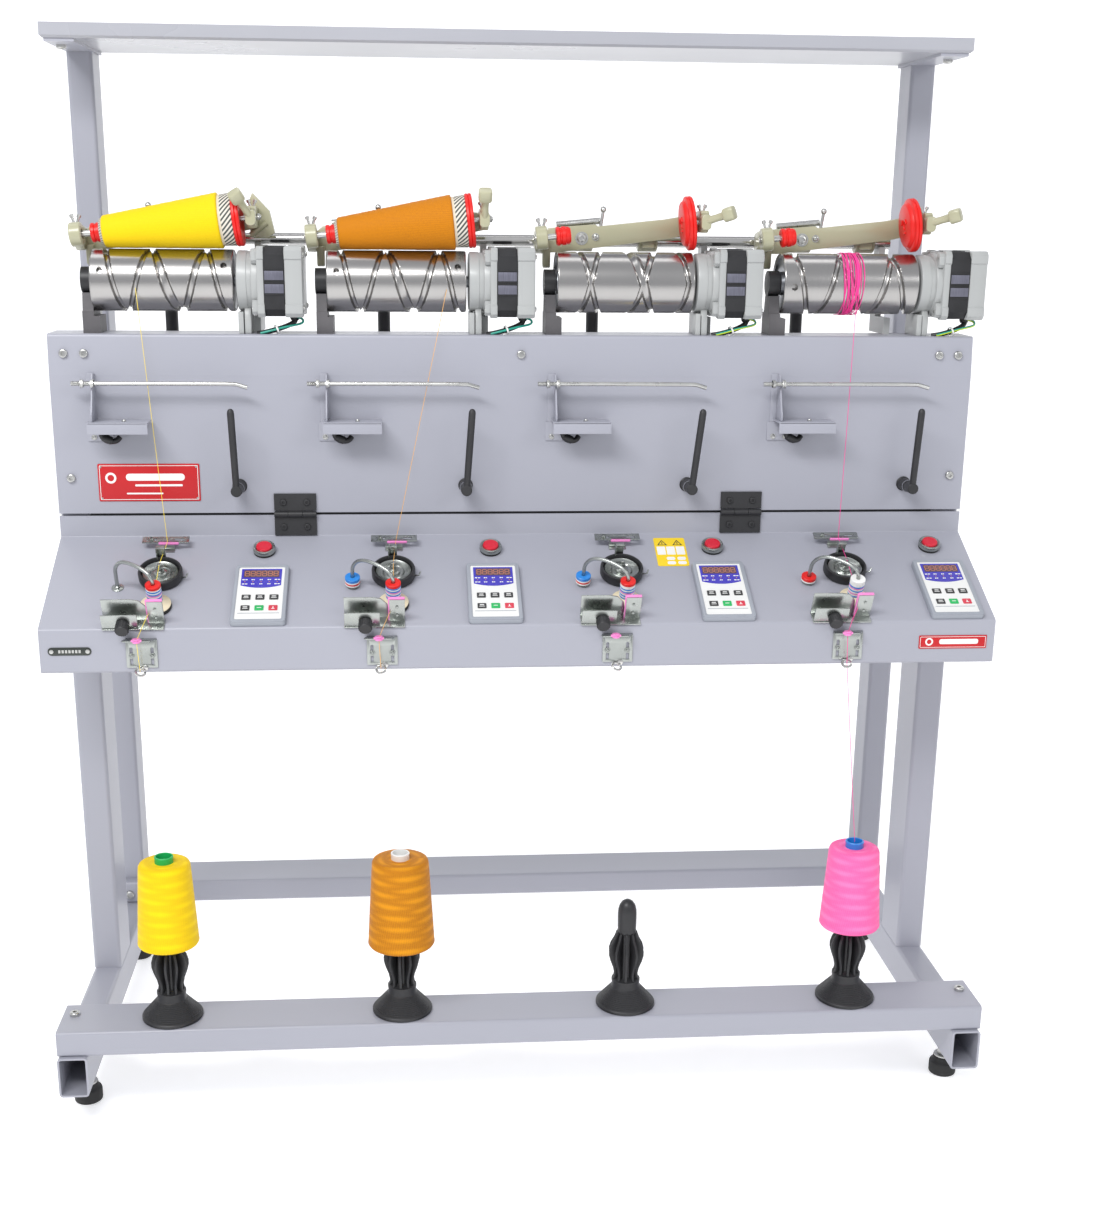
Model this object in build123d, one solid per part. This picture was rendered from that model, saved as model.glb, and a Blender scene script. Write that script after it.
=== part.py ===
from build123d import *
import os
from math import cos, sin, tan, radians

# A four-head thread winding machine on a floor frame.  Millimetres, Z up, X to the right.
# The layout has Y = 0 on the front face of the hood and the floor at Z = 0; write() moves
# every node back by CENTRE_Y so that the origin lies under the middle of the machine.

CENTRE_Y = 31.0            # middle of the depth, measured from the hood's front face

# Frame
HALF_WIDTH = 590.0
TUBE_LOW = 48.0            # underside of the foot tubes
TUBE_TOP = 102.0           # top of the foot tubes
FOOT_BACK = 304.0
FOOT_FRONT = -243.0
TUBE_WALL = 2.5
TUBE_CORNER = 5.0
FRONT_BEAM_Y = (-239.0, -162.0)
REAR_BEAM_Y = (225.0, 304.0)
BEAM_TOP = 135.4
FRONT_POST_Y = (7.4, 86.0)
REAR_POST_Y = (242.0, 298.0)
POST_WIDTH = 37.0
REAR_POST_WIDTH = 34.0
SHELF_Y = (103.0, 305.5)
SHELF_Z = (1325.0, 1343.1)
SHELF_HALF = 594.6
FOOT_X = 571.5
FOOT_Y = (-165.0, 255.0)

# Hood and console
SHEET = 2.5
HOOD_LOW = 745.3
HOOD_BEND = 920.5
DECK = 971.0
DECK_BACK = 62.0
LID_TOP = 742.0
SLOPE_TOP = 715.0
SLOPE_FRONT_Y = -164.5
SLOPE_FRONT_Z = 634.0
LID_LOW = 579.0
HINGE_Y = -4.5
HINGE_Z = 743.6
HINGE_X = (-290.0, 293.0)

# Winding heads
HEADS = 4
HEAD_X = -435.0            # reference station of the first head
PITCH = 290.0
DRUM_Y = 35.0
DRUM_Z = 1035.3
DRUM_R = 38.0
SHAFT_Y = 95.0
SHAFT_Z = 1085.5
SHAFT_R = 7.5
SHAFT_X = (-549.0, 497.0)
SUPPORT_X = (-547.0, -337.0, -47.0, 243.0, 481.0)   # left faces of the shaft's supports
SUPPORT_WIDTH = 8.0
CONE_Z = 1093.2
CONE_TILT = 5.8            # degrees, so that the lower edge of the cone lies level
CONE_SMALL_R = 16.4
CONE_SLOPE = 0.0975
YARN_SMALL_R = 19.5
YARN_SLOPE = 0.1016
RUNNING = 0.05             # radial clearance of a shaft in its bearing
WOUND_HEADS = (0, 1)       # heads that carry a wound cone and a closed clamp handle
HANDLE_TURN = (122.0, 90.0, 20.0, 20.0)    # degrees from the right, as each clamp handle stands
HANDLE_REACH = 27.0        # from the handle's pivot to its grip, seen from the front
HANDLE_FORWARD = 18.0      # how far the grip stands in front of the pivot
DISC_FACE = (164.1, 164.1, 153.8, 153.8)   # place of each large chuck's flange along the cone axis
LEVER_Z = 780.0
LEVER_LEAN = (-2.0, 4.3, 6.4, 3.0)          # degrees to the right, as the levers stand
SPOOL_X = (-451.0, -160.0, 128.0, 418.0)
SPOOL_Y = -200.0
# Bottom, top, bottom radius and top radius of each cone of supply thread, by its stand
SUPPLY_CONES = {0: (236.0, 346.0, 38.5, 32.2), 1: (228.0, 344.0, 42.5, 35.7), 3: (238.0, 347.0, 39.0, 32.0)}


def head_x(index):
    return HEAD_X + PITCH * index


def write(name, *solids):
    moved = [Pos(0, -CENTRE_Y, 0) * solid for piece in solids for solid in piece.solids()]
    shape = moved[0] if len(moved) == 1 else Compound(children=moved)
    export_step(shape, f"parts/{name}.step")


def block(x, y, z):
    """A box between two corners, given as its x, y and z ranges."""
    size = [high - low for low, high in (x, y, z)]
    middle = [(high + low) / 2 for low, high in (x, y, z)]
    return Pos(*middle) * Box(*size)


def rod(start, end, radius, end_radius=None):
    """A round bar or cone from one point to another."""
    start, end = Vector(*start), Vector(*end)
    length = (end - start).length
    plane = Plane(origin=start, z_dir=end - start)
    if end_radius is None:
        bar = Cylinder(radius, length, align=(Align.CENTER, Align.CENTER, Align.MIN))
    else:
        bar = Cone(radius, end_radius, length, align=(Align.CENTER, Align.CENTER, Align.MIN))
    return plane * bar


def x_rod(x, y, z, radius):
    return rod((x[0], y, z), (x[1], y, z), radius)


def box_tube(axis, x, y, z, wall=TUBE_WALL, corner=TUBE_CORNER):
    """A rectangular hollow section with round corners, running along axis."""
    spans = {"X": x, "Y": y, "Z": z}
    along = spans.pop(axis)
    (u, v) = spans.values()
    width, height = u[1] - u[0], v[1] - v[0]
    inner = RectangleRounded(width - 2 * wall, height - 2 * wall, corner - wall)
    section = RectangleRounded(width, height, corner) - inner
    plane = {"X": Plane.YZ, "Y": Plane.XZ, "Z": Plane.XY}[axis]
    start = {"X": (along[0], 0, 0), "Y": (0, along[1], 0), "Z": (0, 0, along[0])}[axis]
    middle = ((u[0] + u[1]) / 2, (v[0] + v[1]) / 2)
    local = Plane(origin=start, x_dir=plane.x_dir, z_dir=plane.z_dir)
    return local * (Pos(*middle) * extrude(section, along[1] - along[0]))


def sheet_section(path, thickness, bend):
    """The closed outline of a folded sheet whose outer face follows path."""
    outer = [Vector(*point) for point in path]
    directions = [(b - a).normalized() for a, b in zip(outer, outer[1:])]
    normals = [Vector(-d.Y, d.X) for d in directions]
    inner = [outer[0] + normals[0] * thickness]
    outer_radii, inner_radii = [], []
    for index in range(1, len(outer) - 1):
        mean = (normals[index - 1] + normals[index]).normalized()
        inner.append(outer[index] + mean * (thickness / mean.dot(normals[index])))
        turn = directions[index - 1].cross(directions[index]).Z
        outer_radii.append(bend + thickness if turn > 0 else bend)
        inner_radii.append(bend if turn > 0 else bend + thickness)
    inner.append(outer[-1] + normals[-1] * thickness)
    face_out = FilletPolyline(*outer, radius=outer_radii)
    face_in = FilletPolyline(*inner, radius=inner_radii)
    ends = [Line(outer[0], inner[0]), Line(outer[-1], inner[-1])]
    return make_face(Wire([*face_out.edges(), *face_in.edges(), *[end.edge() for end in ends]]))


def folded_sheet(path, x, thickness=SHEET, bend=1.5):
    """A sheet folded along a path of (y, z) points and running along X."""
    section = sheet_section(path, thickness, bend)
    return Plane(origin=(x[0], 0, 0), x_dir=(0, 1, 0), z_dir=(1, 0, 0)) * extrude(section, x[1] - x[0])


def plate(points, x):
    """A flat plate with a (y, z) outline, between two x positions."""
    section = make_face(Polyline(*points, close=True))
    return Plane(origin=(x[0], 0, 0), x_dir=(0, 1, 0), z_dir=(1, 0, 0)) * extrude(section, x[1] - x[0])


def ring(outer, inner, height):
    return Cylinder(outer, height) - Cylinder(inner, height)


def socket_screw(radius, height, hex_radius):
    """A button-head screw with a hexagonal socket, its seat at Z = 0."""
    head = Pos(0, 0, height / 2) * Cylinder(radius, height)
    head = fillet(head.edges().group_by(Axis.Z)[-1], height * 0.45)
    socket = Pos(0, 0, height * 0.45) * extrude(RegularPolygon(hex_radius, 6), height)
    return head - socket


# Console directions: s runs down the slope, h stands off it
slope = Vector(0, SLOPE_FRONT_Y, SLOPE_FRONT_Z - SLOPE_TOP).normalized()
slope_normal = Vector(0, slope.Z, -slope.Y)


def on_console(x, s, h=0.0):
    """The place on the console slope at x, s down from its top edge and h off its face."""
    origin = Vector(x, 0, SLOPE_TOP) + slope * s + slope_normal * h
    return Plane(origin=origin, x_dir=(1, 0, 0), z_dir=slope_normal).location


def cone_place(head, distance):
    """The place on the cone axis of a head, at a distance from the cone's small end."""
    tilt = radians(CONE_TILT)
    origin = (head_x(head) - 85 + distance * cos(tilt), DRUM_Y, CONE_Z + distance * sin(tilt))
    return Plane(origin=origin, x_dir=(0, 1, 0), z_dir=(cos(tilt), 0, sin(tilt))).location


def frame_parts():
    feet, front_posts, rear_posts = [], [], []
    for side in (-1, 1):
        outer = sorted((side * HALF_WIDTH, side * (HALF_WIDTH - POST_WIDTH)))
        rear = sorted((side * HALF_WIDTH, side * (HALF_WIDTH - REAR_POST_WIDTH)))
        feet.append(box_tube("Y", outer, (FOOT_FRONT, FOOT_BACK), (TUBE_LOW, TUBE_TOP)))
        front_posts.append(box_tube("Z", outer, FRONT_POST_Y, (TUBE_TOP, DECK - SHEET)))
        rear_posts.append(box_tube("Z", rear, REAR_POST_Y, (BEAM_TOP, SHELF_Z[0] - 4)))
        rear_posts.append(block(outer, (108, REAR_POST_Y[1]), (SHELF_Z[0] - 4, SHELF_Z[0])))
    write("foot_tubes", *feet)
    write("front_posts", *front_posts)
    write("rear_posts", *rear_posts)
    span = (-HALF_WIDTH, HALF_WIDTH)
    beams = [box_tube("X", span, depth, (TUBE_TOP, BEAM_TOP), corner=4) for depth in (FRONT_BEAM_Y, REAR_BEAM_Y)]
    write("cross_beams", *beams)
    board = block((-SHELF_HALF, SHELF_HALF), SHELF_Y, SHELF_Z)
    write("shelf_board", chamfer(board.edges().group_by(Axis.Z)[0], 3))


def screws():
    """Cap screws of the beams and button screws of the hood, the hinges and the shelf plates."""
    pieces = []
    big = socket_screw(6.5, 5, 3)
    small = socket_screw(5.5, 4, 2.4)
    for side in (-1, 1):
        pieces.append(Pos(side * 575, -192, BEAM_TOP) * big)
        pieces.append(Pos(side * 575.7, REAR_BEAM_Y[0], 116) * Rot(90, 0, 0) * big)
        pieces.append(Pos(side * 578, 155, SHELF_Z[0] - 4) * Rot(180, 0, 0) * big)
        pieces.append(Pos(side * 546, 1.95, 947) * Rot(85.5, 0, 0) * small)
        pieces.append(Pos(side * 571, 1.95, 947) * Rot(85.5, 0, 0) * small)
        pieces.append(Pos(side * 571.5, 0, 791) * Rot(90, 0, 0) * small)
    pieces.append(Pos(1.5, 1.95, 947) * Rot(85.5, 0, 0) * small)
    write("frame_screws", *pieces)


def hood():
    path = [(DECK_BACK, DECK), (4, DECK), (0, HOOD_BEND), (0, HOOD_LOW)]
    panel = folded_sheet(path, (-HALF_WIDTH, HALF_WIDTH))
    for n in range(HEADS):
        x = head_x(n) + 75
        panel += rod((x, 0.5, LEVER_Z), (x, -22, LEVER_Z), 8)
    write("hood_panel", panel)
    between_posts = (POST_WIDTH - HALF_WIDTH, HALF_WIDTH - POST_WIDTH)
    tray = folded_sheet([(10, 700), (10, 660), (80, 660), (80, 700)], between_posts, 2)
    write("service_tray", tray)
    drivers = [block((head_x(n) - 60, head_x(n) + 60), (20, 70), (662, 730)) for n in range(HEADS)]
    write("motor_drivers", *drivers)
    rail = box_tube("X", (-556, 556), (200, 242), (868, 915), corner=4)
    posts = [rod((head_x(n) - 30, 212, 915), (head_x(n) - 30, 212, 1000), 8.5) for n in range(HEADS)]
    write("lift_stops", rail, *posts)


def hinge_leaves():
    """Two butt hinges; the hood carries the middle knuckles and the pins."""
    upper, lower = [], []
    for x in HINGE_X:
        up = block((x - 27, x + 27), (-3, 0), (HINGE_Z + 4.6, 770))
        web = block((x - 9, x + 9), (-3, 0), (HINGE_Z, HINGE_Z + 4.6))
        knuckle = x_rod((x - 9, x + 9), HINGE_Y, HINGE_Z, 4)
        pin = x_rod((x - 27, x + 27), HINGE_Y, HINGE_Z, 2)
        leaf = up + web + knuckle - block((x - 9, x + 9), (0, 2), (730, 760)) + pin
        screw = socket_screw(4.2, 2.6, 2)
        upper.append(leaf)
        low = block((x - 27, x + 27), (-3, 0), (716, HINGE_Z - 4.6))
        for a, b in ((x - 26.7, x - 9.5), (x + 9.5, x + 26.7)):
            low += block((a, b), (-3, 0), (HINGE_Z - 4.6, HINGE_Z - 0.5))
            low += x_rod((a, b), HINGE_Y, HINGE_Z, 4)
        low -= x_rod((x - 28, x + 28), HINGE_Y, HINGE_Z, 2 + RUNNING)
        lower.append(low)
        for side in (-15, 15):
            upper.append(Pos(x + side, -3, 759) * Rot(90, 0, 0) * screw)
            lower.append(Pos(x + side, -3, 727) * Rot(90, 0, 0) * screw)
    write("hood_hinge_leaves", *upper)
    write("lid_hinge_leaves", *lower)


def console():
    path = [(0, LID_TOP), (0, SLOPE_TOP), (SLOPE_FRONT_Y, SLOPE_FRONT_Z), (SLOPE_FRONT_Y, LID_LOW),
            (SLOPE_FRONT_Y + 16, LID_LOW)]
    lid = folded_sheet(path, (-HALF_WIDTH, HALF_WIDTH))
    gusset = [(0.5, SLOPE_TOP - 4), (SLOPE_FRONT_Y + 2, SLOPE_FRONT_Z - 4),
              (SLOPE_FRONT_Y + 2, LID_LOW + 1), (-120, LID_LOW + 1), (0.5, 640)]
    for x in ((-HALF_WIDTH, SHEET - HALF_WIDTH), (HALF_WIDTH - SHEET, HALF_WIDTH)):
        lid += plate(gusset, x)
    bezels, panels, lid_cut = [], [], lid
    for n in range(HEADS):
        x = head_x(n)
        lid_cut -= on_console(x + 106, 34) * Cylinder(11.1, 12)
        barrel = Pos(0, 0, -12) * ring(11, 10.2, 24)
        rim = Pos(0, 0, 2.5) * ring(14.2, 10.2, 5)
        bezels.append(on_console(x + 106, 34) * (rim + barrel))
        cap = Pos(0, 0, -1) * Cylinder(10.1, 14)
        write(f"button_{n + 1}", on_console(x + 106, 34) * fillet(cap.edges().group_by(Axis.Z)[-1], 1.5))
        panel = Pos(0, 0, 0.05) * extrude(RectangleRounded(67, 111, 4), 8)
        panels.append(on_console(x + 106.5, 125.5) * chamfer(panel.edges().group_by(Axis.Z)[-1], 1.5))
    write("console_lid", lid_cut)
    write("button_bezels", *bezels)
    write("control_panels", *panels)


def thread_tensioners():
    """On each console section: a felt-lined cup, a disc tensioner and an arch rod with washers."""
    tensioners, brackets = [], []
    for n in range(HEADS):
        x = head_x(n)
        cup = Pos(0, 0, 7.05) * Cylinder(27.5, 14) - Pos(0, 0, 11) * Cylinder(24, 8)
        dish = Pos(0, 0, 8.6) * Cylinder(20, 3) + Pos(0, 0, 16) * Cylinder(4, 14)
        disc = Pos(0, 0, 3.05) * Cylinder(19, 6) + Pos(0, 0, 9) * Cylinder(15, 6.2)
        disc += Pos(0, 0, 24) * Cylinder(9.5, 22)
        tensioners += [on_console(x - 19, 86) * (cup + dish), on_console(x - 19, 143) * disc]
        foot, knee = on_console(x - 70, 105, 0.05).position, on_console(x - 70, 105, 34).position
        inner = on_console(x - 19, 143, 35.1).position
        turn = on_console(x - 19, 143, 44).position
        crown = (knee + turn) / 2 + slope_normal * 16
        arch = sweep_round(Line(foot, knee), 2.5) + Pos(*knee) * Sphere(2.5)
        arch += sweep_round(ThreePointArc(knee, crown, turn), 2.5) + Pos(*turn) * Sphere(2.5)
        arch += sweep_round(Line(turn, inner), 2.5)
        arch += on_console(x - 70, 105, 1.55) * Cylinder(7, 3)
        tensioners.append(arch)
        brackets.append(on_console(x - 18.5, 22, 10) * Box(59, 14, 2) + on_console(x - 18.5, 28, 5.05) * Box(20, 2, 10))
        foot = on_console(x - 42, 176, 1.05) * Box(74, 20, 2)
        back = on_console(x - 52, 166, 13) * Box(54, 2, 26)
        slab = on_console(x - 14.5, 178, 18) * Box(19, 4, 34)
        knob = on_console(x - 53, 176, 12) * Rot(90, 0, 0) * Cylinder(8, 14)
        brackets.append(foot + back + slab)
        brackets.append(knob)
        lip_plate = block((x - 52, x - 14.5), (SLOPE_FRONT_Y - 2, SLOPE_FRONT_Y), (586, 621))
        lip_plate += block((x - 55, x - 28), (SLOPE_FRONT_Y - 14, SLOPE_FRONT_Y), (621, 623))
        eye = Pos(x - 34, SLOPE_FRONT_Y - 12, 581) * Torus(5, 1.3)
        stem = rod((x - 34, SLOPE_FRONT_Y - 7.2, 581), (x - 34, SLOPE_FRONT_Y, 581), 2)
        brackets += [lip_plate, eye + stem]
    write("thread_tensioners", *tensioners)
    write("thread_brackets", *brackets)


def sweep_round(path, radius):
    start = path @ 0
    tangent = path % 0
    return sweep(Plane(origin=start, z_dir=tangent) * Circle(radius), path=path)


def head_mounts():
    """Castings and motors that carry the drums, and the shaft that carries the cradles."""
    brackets, hubs, housings, stators, cables, supports = [], [], [], [], [], []
    for n in range(HEADS):
        x = head_x(n)
        outline = [(15, DECK), (60, DECK), (60, 985), (51, 1000), (47, 1020), (23, 1020), (19, 1000), (15, 985)]
        bracket = plate(outline, (x - 112, x - 98.6)) - x_rod((x - 114, x - 97), DRUM_Y, DRUM_Z, 16)
        bracket += block((x - 112, x - 91), (15, 60), (DECK, 998)) - block((x - 98, x - 90), (0, 80), (992, 1010))
        brackets.append(bracket)
        hub = x_rod((x - 113, x - 98.6), DRUM_Y, DRUM_Z, 16) - x_rod((x - 111, x - 98), DRUM_Y, DRUM_Z, 6 + RUNNING)
        hubs.append(hub)
        shell = x_rod((x + 80, x + 101), DRUM_Y, DRUM_Z, 37) - x_rod((x + 79, x + 95), DRUM_Y, DRUM_Z, 7 + RUNNING)
        flange = block((x + 101, x + 115.6), (-8, 78), (992.3, 1078.3))
        flange = chamfer(flange.edges().filter_by(Axis.X), 9)
        rear_cap = block((x + 140.6, x + 163.6), (-8, 78), (992.3, 1078.3))
        rear_cap = chamfer(rear_cap.edges().filter_by(Axis.X), 9)
        rear_cap = chamfer(rear_cap.faces().sort_by(Axis.X)[-1].edges(), 4)
        foot = block((x + 81, x + 96), (10, 60), (DECK, 1003))
        foot -= x_rod((x + 80, x + 97), DRUM_Y, DRUM_Z, 37)
        housings += [shell + flange, rear_cap, foot]
        stator = block((x + 115.6, x + 140.6), (-7, 77), (993.3, 1077.3))
        stators.append(chamfer(stator.edges().filter_by(Axis.X), 9))
        points = [(x + 148, 40, 992.2), (x + 148, 40, 984), (x + 137, 38, 980), (x + 124, 36, 979),
                  (x + 124, 36, DECK + 0.1)]
        cables.append(FilletPolyline(*points, radius=3.4))
    for index, x in enumerate(SUPPORT_X):
        front = 60 if index == 0 else 40
        riser = [(front, DECK), (107, DECK), (107, 1081), (83, 1081), (83, 992), (front, 992)]
        support = plate(riser, (x, x + SUPPORT_WIDTH))
        supports.append(support - x_rod((x - 1, x + SUPPORT_WIDTH + 1), SHAFT_Y, SHAFT_Z, SHAFT_R))
    write("drum_brackets", *brackets)
    write("bearing_hubs", *hubs)
    write("motors", *housings, *stators)
    write("motor_cables", *[sweep_round(path, 3) for path in cables])
    write("shaft_supports", *supports)
    write("cradle_shaft", x_rod(SHAFT_X, SHAFT_Y, SHAFT_Z, SHAFT_R))


def drum(n):
    """A hollow drum with end walls and the two journals that carry it."""
    x = head_x(n)
    body = x_rod((x - 98, x + 77), DRUM_Y, DRUM_Z, DRUM_R)
    body = fillet(body.edges(), 1)
    body -= x_rod((x - 92, x + 71), DRUM_Y, DRUM_Z, DRUM_R - 8)
    body += x_rod((x - 110, x - 92), DRUM_Y, DRUM_Z, 6)
    body += x_rod((x + 71, x + 94), DRUM_Y, DRUM_Z, 7)
    write(f"drum_{n + 1}", body)


def cradle(n):
    """The cone cradle: an arm on two hubs round the shaft, a ring clamp and a clamp block."""
    x = head_x(n)
    shift = 10 if n in WOUND_HEADS else 0
    rise = tan(radians(CONE_TILT))
    arm_low = CONE_Z - 22
    left, right = x - 112, x + 82 + shift
    arm_outline = [(left, arm_low), (right + 14, arm_low + rise * (right + 14 - left)),
                   (right + 14, arm_low + 27 + rise * (right + 14 - left)), (left, arm_low + 27)]
    section = make_face(Polyline(*arm_outline, close=True))
    frame = Plane(origin=(0, 81, 0), x_dir=(1, 0, 0), z_dir=(0, -1, 0)) * extrude(section, 8)
    for a, b in ((x - 75, x - 45), (x + 15, x + 40)):
        frame += block((a + 4, b - 4), (80, 92), (SHAFT_Z - 8, SHAFT_Z + 8))
        frame += x_rod((a, b), SHAFT_Y, SHAFT_Z, 13)
        frame -= x_rod((a - 1, b + 1), SHAFT_Y, SHAFT_Z, SHAFT_R + RUNNING)
    clamp_axis_z = CONE_Z - 30 * rise
    clamp = cone_place(n, -31.5) * Cylinder(14.7, 14.4)
    web = block((x - 123, x - 110), (45, 81), (arm_low + 2, arm_low + 26))
    drop = block((x - 112, x - 102), (64, 81), (1052, arm_low + 5))
    block_z = CONE_Z + (175 + shift) * rise
    tail = block((right + 3, right + 14), (21, 81), (block_z - 12, block_z + 14))
    frame += clamp + web + drop + tail
    frame += cone_place(n, -16) * Cylinder(4, 30)
    frame += rod(cone_place(n, DISC_FACE[n] + 3).position, cone_place(n, 177 + shift).position, 3)
    for turn in (-14, 14):
        base = Vector(x - 117, DRUM_Y, clamp_axis_z + 14)
        frame += rod(base, base + Vector(turn * 0.35, 0, 11), 1.8)
    guide = rod((x - 92, 87, CONE_Z + 12), (x - 36, 87, CONE_Z + 18), 4.5)
    pin = rod((x - 36, 77, 1095), (x - 33, 77, 1124), 2.2) + Pos(x - 33, 77, 1125) * Sphere(4)
    for offset, radius in ((-80, 4.5), (-61, 8), (-43, 4.5)):
        z = arm_low + 13 + rise * (x + offset - left)
        frame += rod((x + offset, 73, z), (x + offset, 68, z), radius)
    if n == 0:
        web = [(right + 3, block_z - 24), (right + 3, block_z + 20), (right + 7, block_z + 30), (right + 28, block_z + 8),
               (right + 34, block_z - 19), (right + 26, block_z - 24)]
        section = make_face(Polyline(*web, close=True))
        frame += Plane(origin=(0, 74, 0), x_dir=(1, 0, 0), z_dir=(0, -1, 0)) * extrude(section, 12)
    write(f"cradle_{n + 1}", frame + pin + guide)
    chucks(n)
    handle(n, right + 8.5, block_z + 1)


def chucks(n):
    """The small plug and the large flanged disc that grip a cone, turning on the cradle's pins."""
    plug = Pos(0, 0, -6.5) * Cylinder(11.75, 12.6) + Pos(0, 0, 2.7) * Cone(11.5, 9, 6)
    plug -= Pos(0, 0, -7) * Cylinder(4 + RUNNING, 14)
    disc = Pos(0, 0, 4.5) * Cylinder(33.5, 9) + Pos(0, 0, -2.5) * Cone(27, 29, 5)
    disc -= Pos(0, 0, 6.4) * Cylinder(3 + RUNNING, 7.2)
    write(f"chucks_{n + 1}", cone_place(n, 0) * plug, cone_place(n, DISC_FACE[n]) * disc)


def handle(n, x, z):
    """The clamp handle, turning about a pin on the front of the clamp block."""
    turn = radians(HANDLE_TURN[n])
    pivot = Vector(x, 15, z)
    reach = Vector(HANDLE_REACH * cos(turn), -HANDLE_FORWARD, HANDLE_REACH * sin(turn))
    tip = pivot + reach
    unit = reach.normalized()
    boss = rod((x, 20.8, z), (x, 9, z), 7)
    knob = rod(tip - unit * 6, tip + unit * 8, 7.5)
    write(f"handle_{n + 1}", boss + rod(pivot, tip, 5) + fillet(knob.edges(), 3))


def wound_cone(n):
    """A paper cone with its yarn, gripped between the two chucks."""
    def along(start, end, radius, slope_value):
        length = end - start
        low = radius + slope_value * start
        body = Cone(low, radius + slope_value * end, length)
        return Pos(0, 0, (start + end) / 2) * body
    shell = along(-6, 164, CONE_SMALL_R, CONE_SLOPE) + along(3, 147, YARN_SMALL_R, YARN_SLOPE)
    shell -= along(-6.01, 164.01, CONE_SMALL_R - 2, CONE_SLOPE)
    write(f"wound_cone_{n + 1}", cone_place(n, 0) * shell)


def hood_guides():
    """A thread guide rod on a bracket with a sensor tray above each console section."""
    brackets, rods, sensors = [], [], []
    for n in range(HEADS):
        x = head_x(n)
        flange = block((x - 109, x - 98.5), (-2, 0), (862, 923)) + block((x - 107, x - 105), (-34, 0), (866, 923))
        flange -= x_rod((x - 120, x - 90), -24, 912.5, 3.1)
        tray = block((x - 105, x - 31), (-42, -4), (864, 866)) + block((x - 105, x - 31), (-42, -40), (852, 866))
        base = block((x - 112, x - 80), (-2, 0), (838, 862))
        brackets.append(flange + tray + base)
        rods.append(x_rod((x - 125, x + 80), -24, 912.5, 3.1) + rod((x + 80, -24, 912.5), (x + 93, -24, 908.5), 3.1, 1.5))
        sensors.append(block((x - 96, x - 44), (-38, -8), (853, 863.9)))
        sensors.append(rod((x - 84, -20, 853), (x - 80, -20, 838), 6))
    write("guide_brackets", *brackets)
    write("guide_rods", *rods)
    write("thread_sensors", *sensors)


def levers():
    for n in range(HEADS):
        x = head_x(n) + 75
        lean = radians(LEVER_LEAN[n])
        top = (x + 100 * sin(lean), -40, LEVER_Z + 100 * cos(lean))
        bar = rod((x, -40, LEVER_Z), top, 4.5) + Pos(*top) * Sphere(4.5)
        bar += rod((x, -45, LEVER_Z), (x, -22.4, LEVER_Z), 7)
        write(f"lever_{n + 1}", bar)


def spools():
    bases, pins = [], []
    for n in range(HEADS):
        x = SPOOL_X[n]
        base = Pos(0, 0, 4) * Cylinder(38, 8) + Pos(0, 0, 20) * Cone(36, 18, 24) + Pos(0, 0, 52) * Cylinder(18, 40)
        base += Pos(0, 0, 85) * Cone(23, 15, 26)
        base += Pos(0, 0, 117) * Cylinder(9, 40) + Pos(0, 0, 136.6) * Sphere(9)
        bases.append(Pos(x, SPOOL_Y, BEAM_TOP) * base)
    write("spool_stands", *bases)
    for n, (low, high, wide, narrow) in SUPPLY_CONES.items():
        body = Pos(0, 0, (low + high) / 2) * Cone(wide, narrow, high - low)
        body += Pos(0, 0, high + 4) * Cylinder(11, 8)
        body -= Pos(0, 0, BEAM_TOP + 75) * Cylinder(9.6, 2 * (281 + 3 - BEAM_TOP - 75))
        body -= Pos(0, 0, low + 20) * Cylinder(24, 60) if low < 235 else Pos(0, 0, low - 10) * Cylinder(19, 30)
        write(f"supply_cone_{n + 1}", Pos(SPOOL_X[n], SPOOL_Y, 0) * body)


def levelling_feet():
    places = [(side * FOOT_X, y) for y in FOOT_Y for side in (-1, 1)]
    for number, (x, y) in enumerate(places, 1):
        pad = Pos(0, 0, 9) * Cylinder(18, 18) + Pos(0, 0, 21) * Cylinder(14, 6)
        pad = fillet(pad.edges().group_by(Axis.Z)[0], 2)
        stud = Pos(0, 0, 36) * Cylinder(5, 24) + Pos(0, 0, 28) * extrude(RegularPolygon(9, 6), 7)
        write(f"foot_{number}", Pos(x, y, 0) * (pad + stud))


os.makedirs("parts", exist_ok=True)
frame_parts()
screws()
hood()
hinge_leaves()
console()
thread_tensioners()
head_mounts()
hood_guides()
levers()
spools()
levelling_feet()
for head in range(HEADS):
    drum(head)
    cradle(head)
for head in WOUND_HEADS:
    wound_cone(head)
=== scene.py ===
import random
from math import cos, hypot, pi, radians, sin, tan

import bmesh
import bpy
from mathutils import Matrix, Vector


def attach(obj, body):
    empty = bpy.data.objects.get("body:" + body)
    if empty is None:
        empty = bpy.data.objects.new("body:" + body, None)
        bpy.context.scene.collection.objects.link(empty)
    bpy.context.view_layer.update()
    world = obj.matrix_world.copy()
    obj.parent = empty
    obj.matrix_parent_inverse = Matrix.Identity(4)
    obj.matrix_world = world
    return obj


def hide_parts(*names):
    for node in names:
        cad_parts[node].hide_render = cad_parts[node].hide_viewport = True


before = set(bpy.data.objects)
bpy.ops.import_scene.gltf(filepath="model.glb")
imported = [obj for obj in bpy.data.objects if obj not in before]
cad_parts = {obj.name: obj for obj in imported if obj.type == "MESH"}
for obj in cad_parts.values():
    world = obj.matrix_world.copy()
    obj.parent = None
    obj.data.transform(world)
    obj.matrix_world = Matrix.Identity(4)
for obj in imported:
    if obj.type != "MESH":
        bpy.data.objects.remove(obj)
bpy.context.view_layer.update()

# Thread winding machine with four heads.  The pieces are laid out in millimetres with Y = 0 on
# the hood's front face; WORLD turns that layout into the frame's metres.
CENTRE_Y = 31.0
WORLD = Matrix.Scale(0.001, 4) @ Matrix.Translation((0, -CENTRE_Y, 0))

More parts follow.
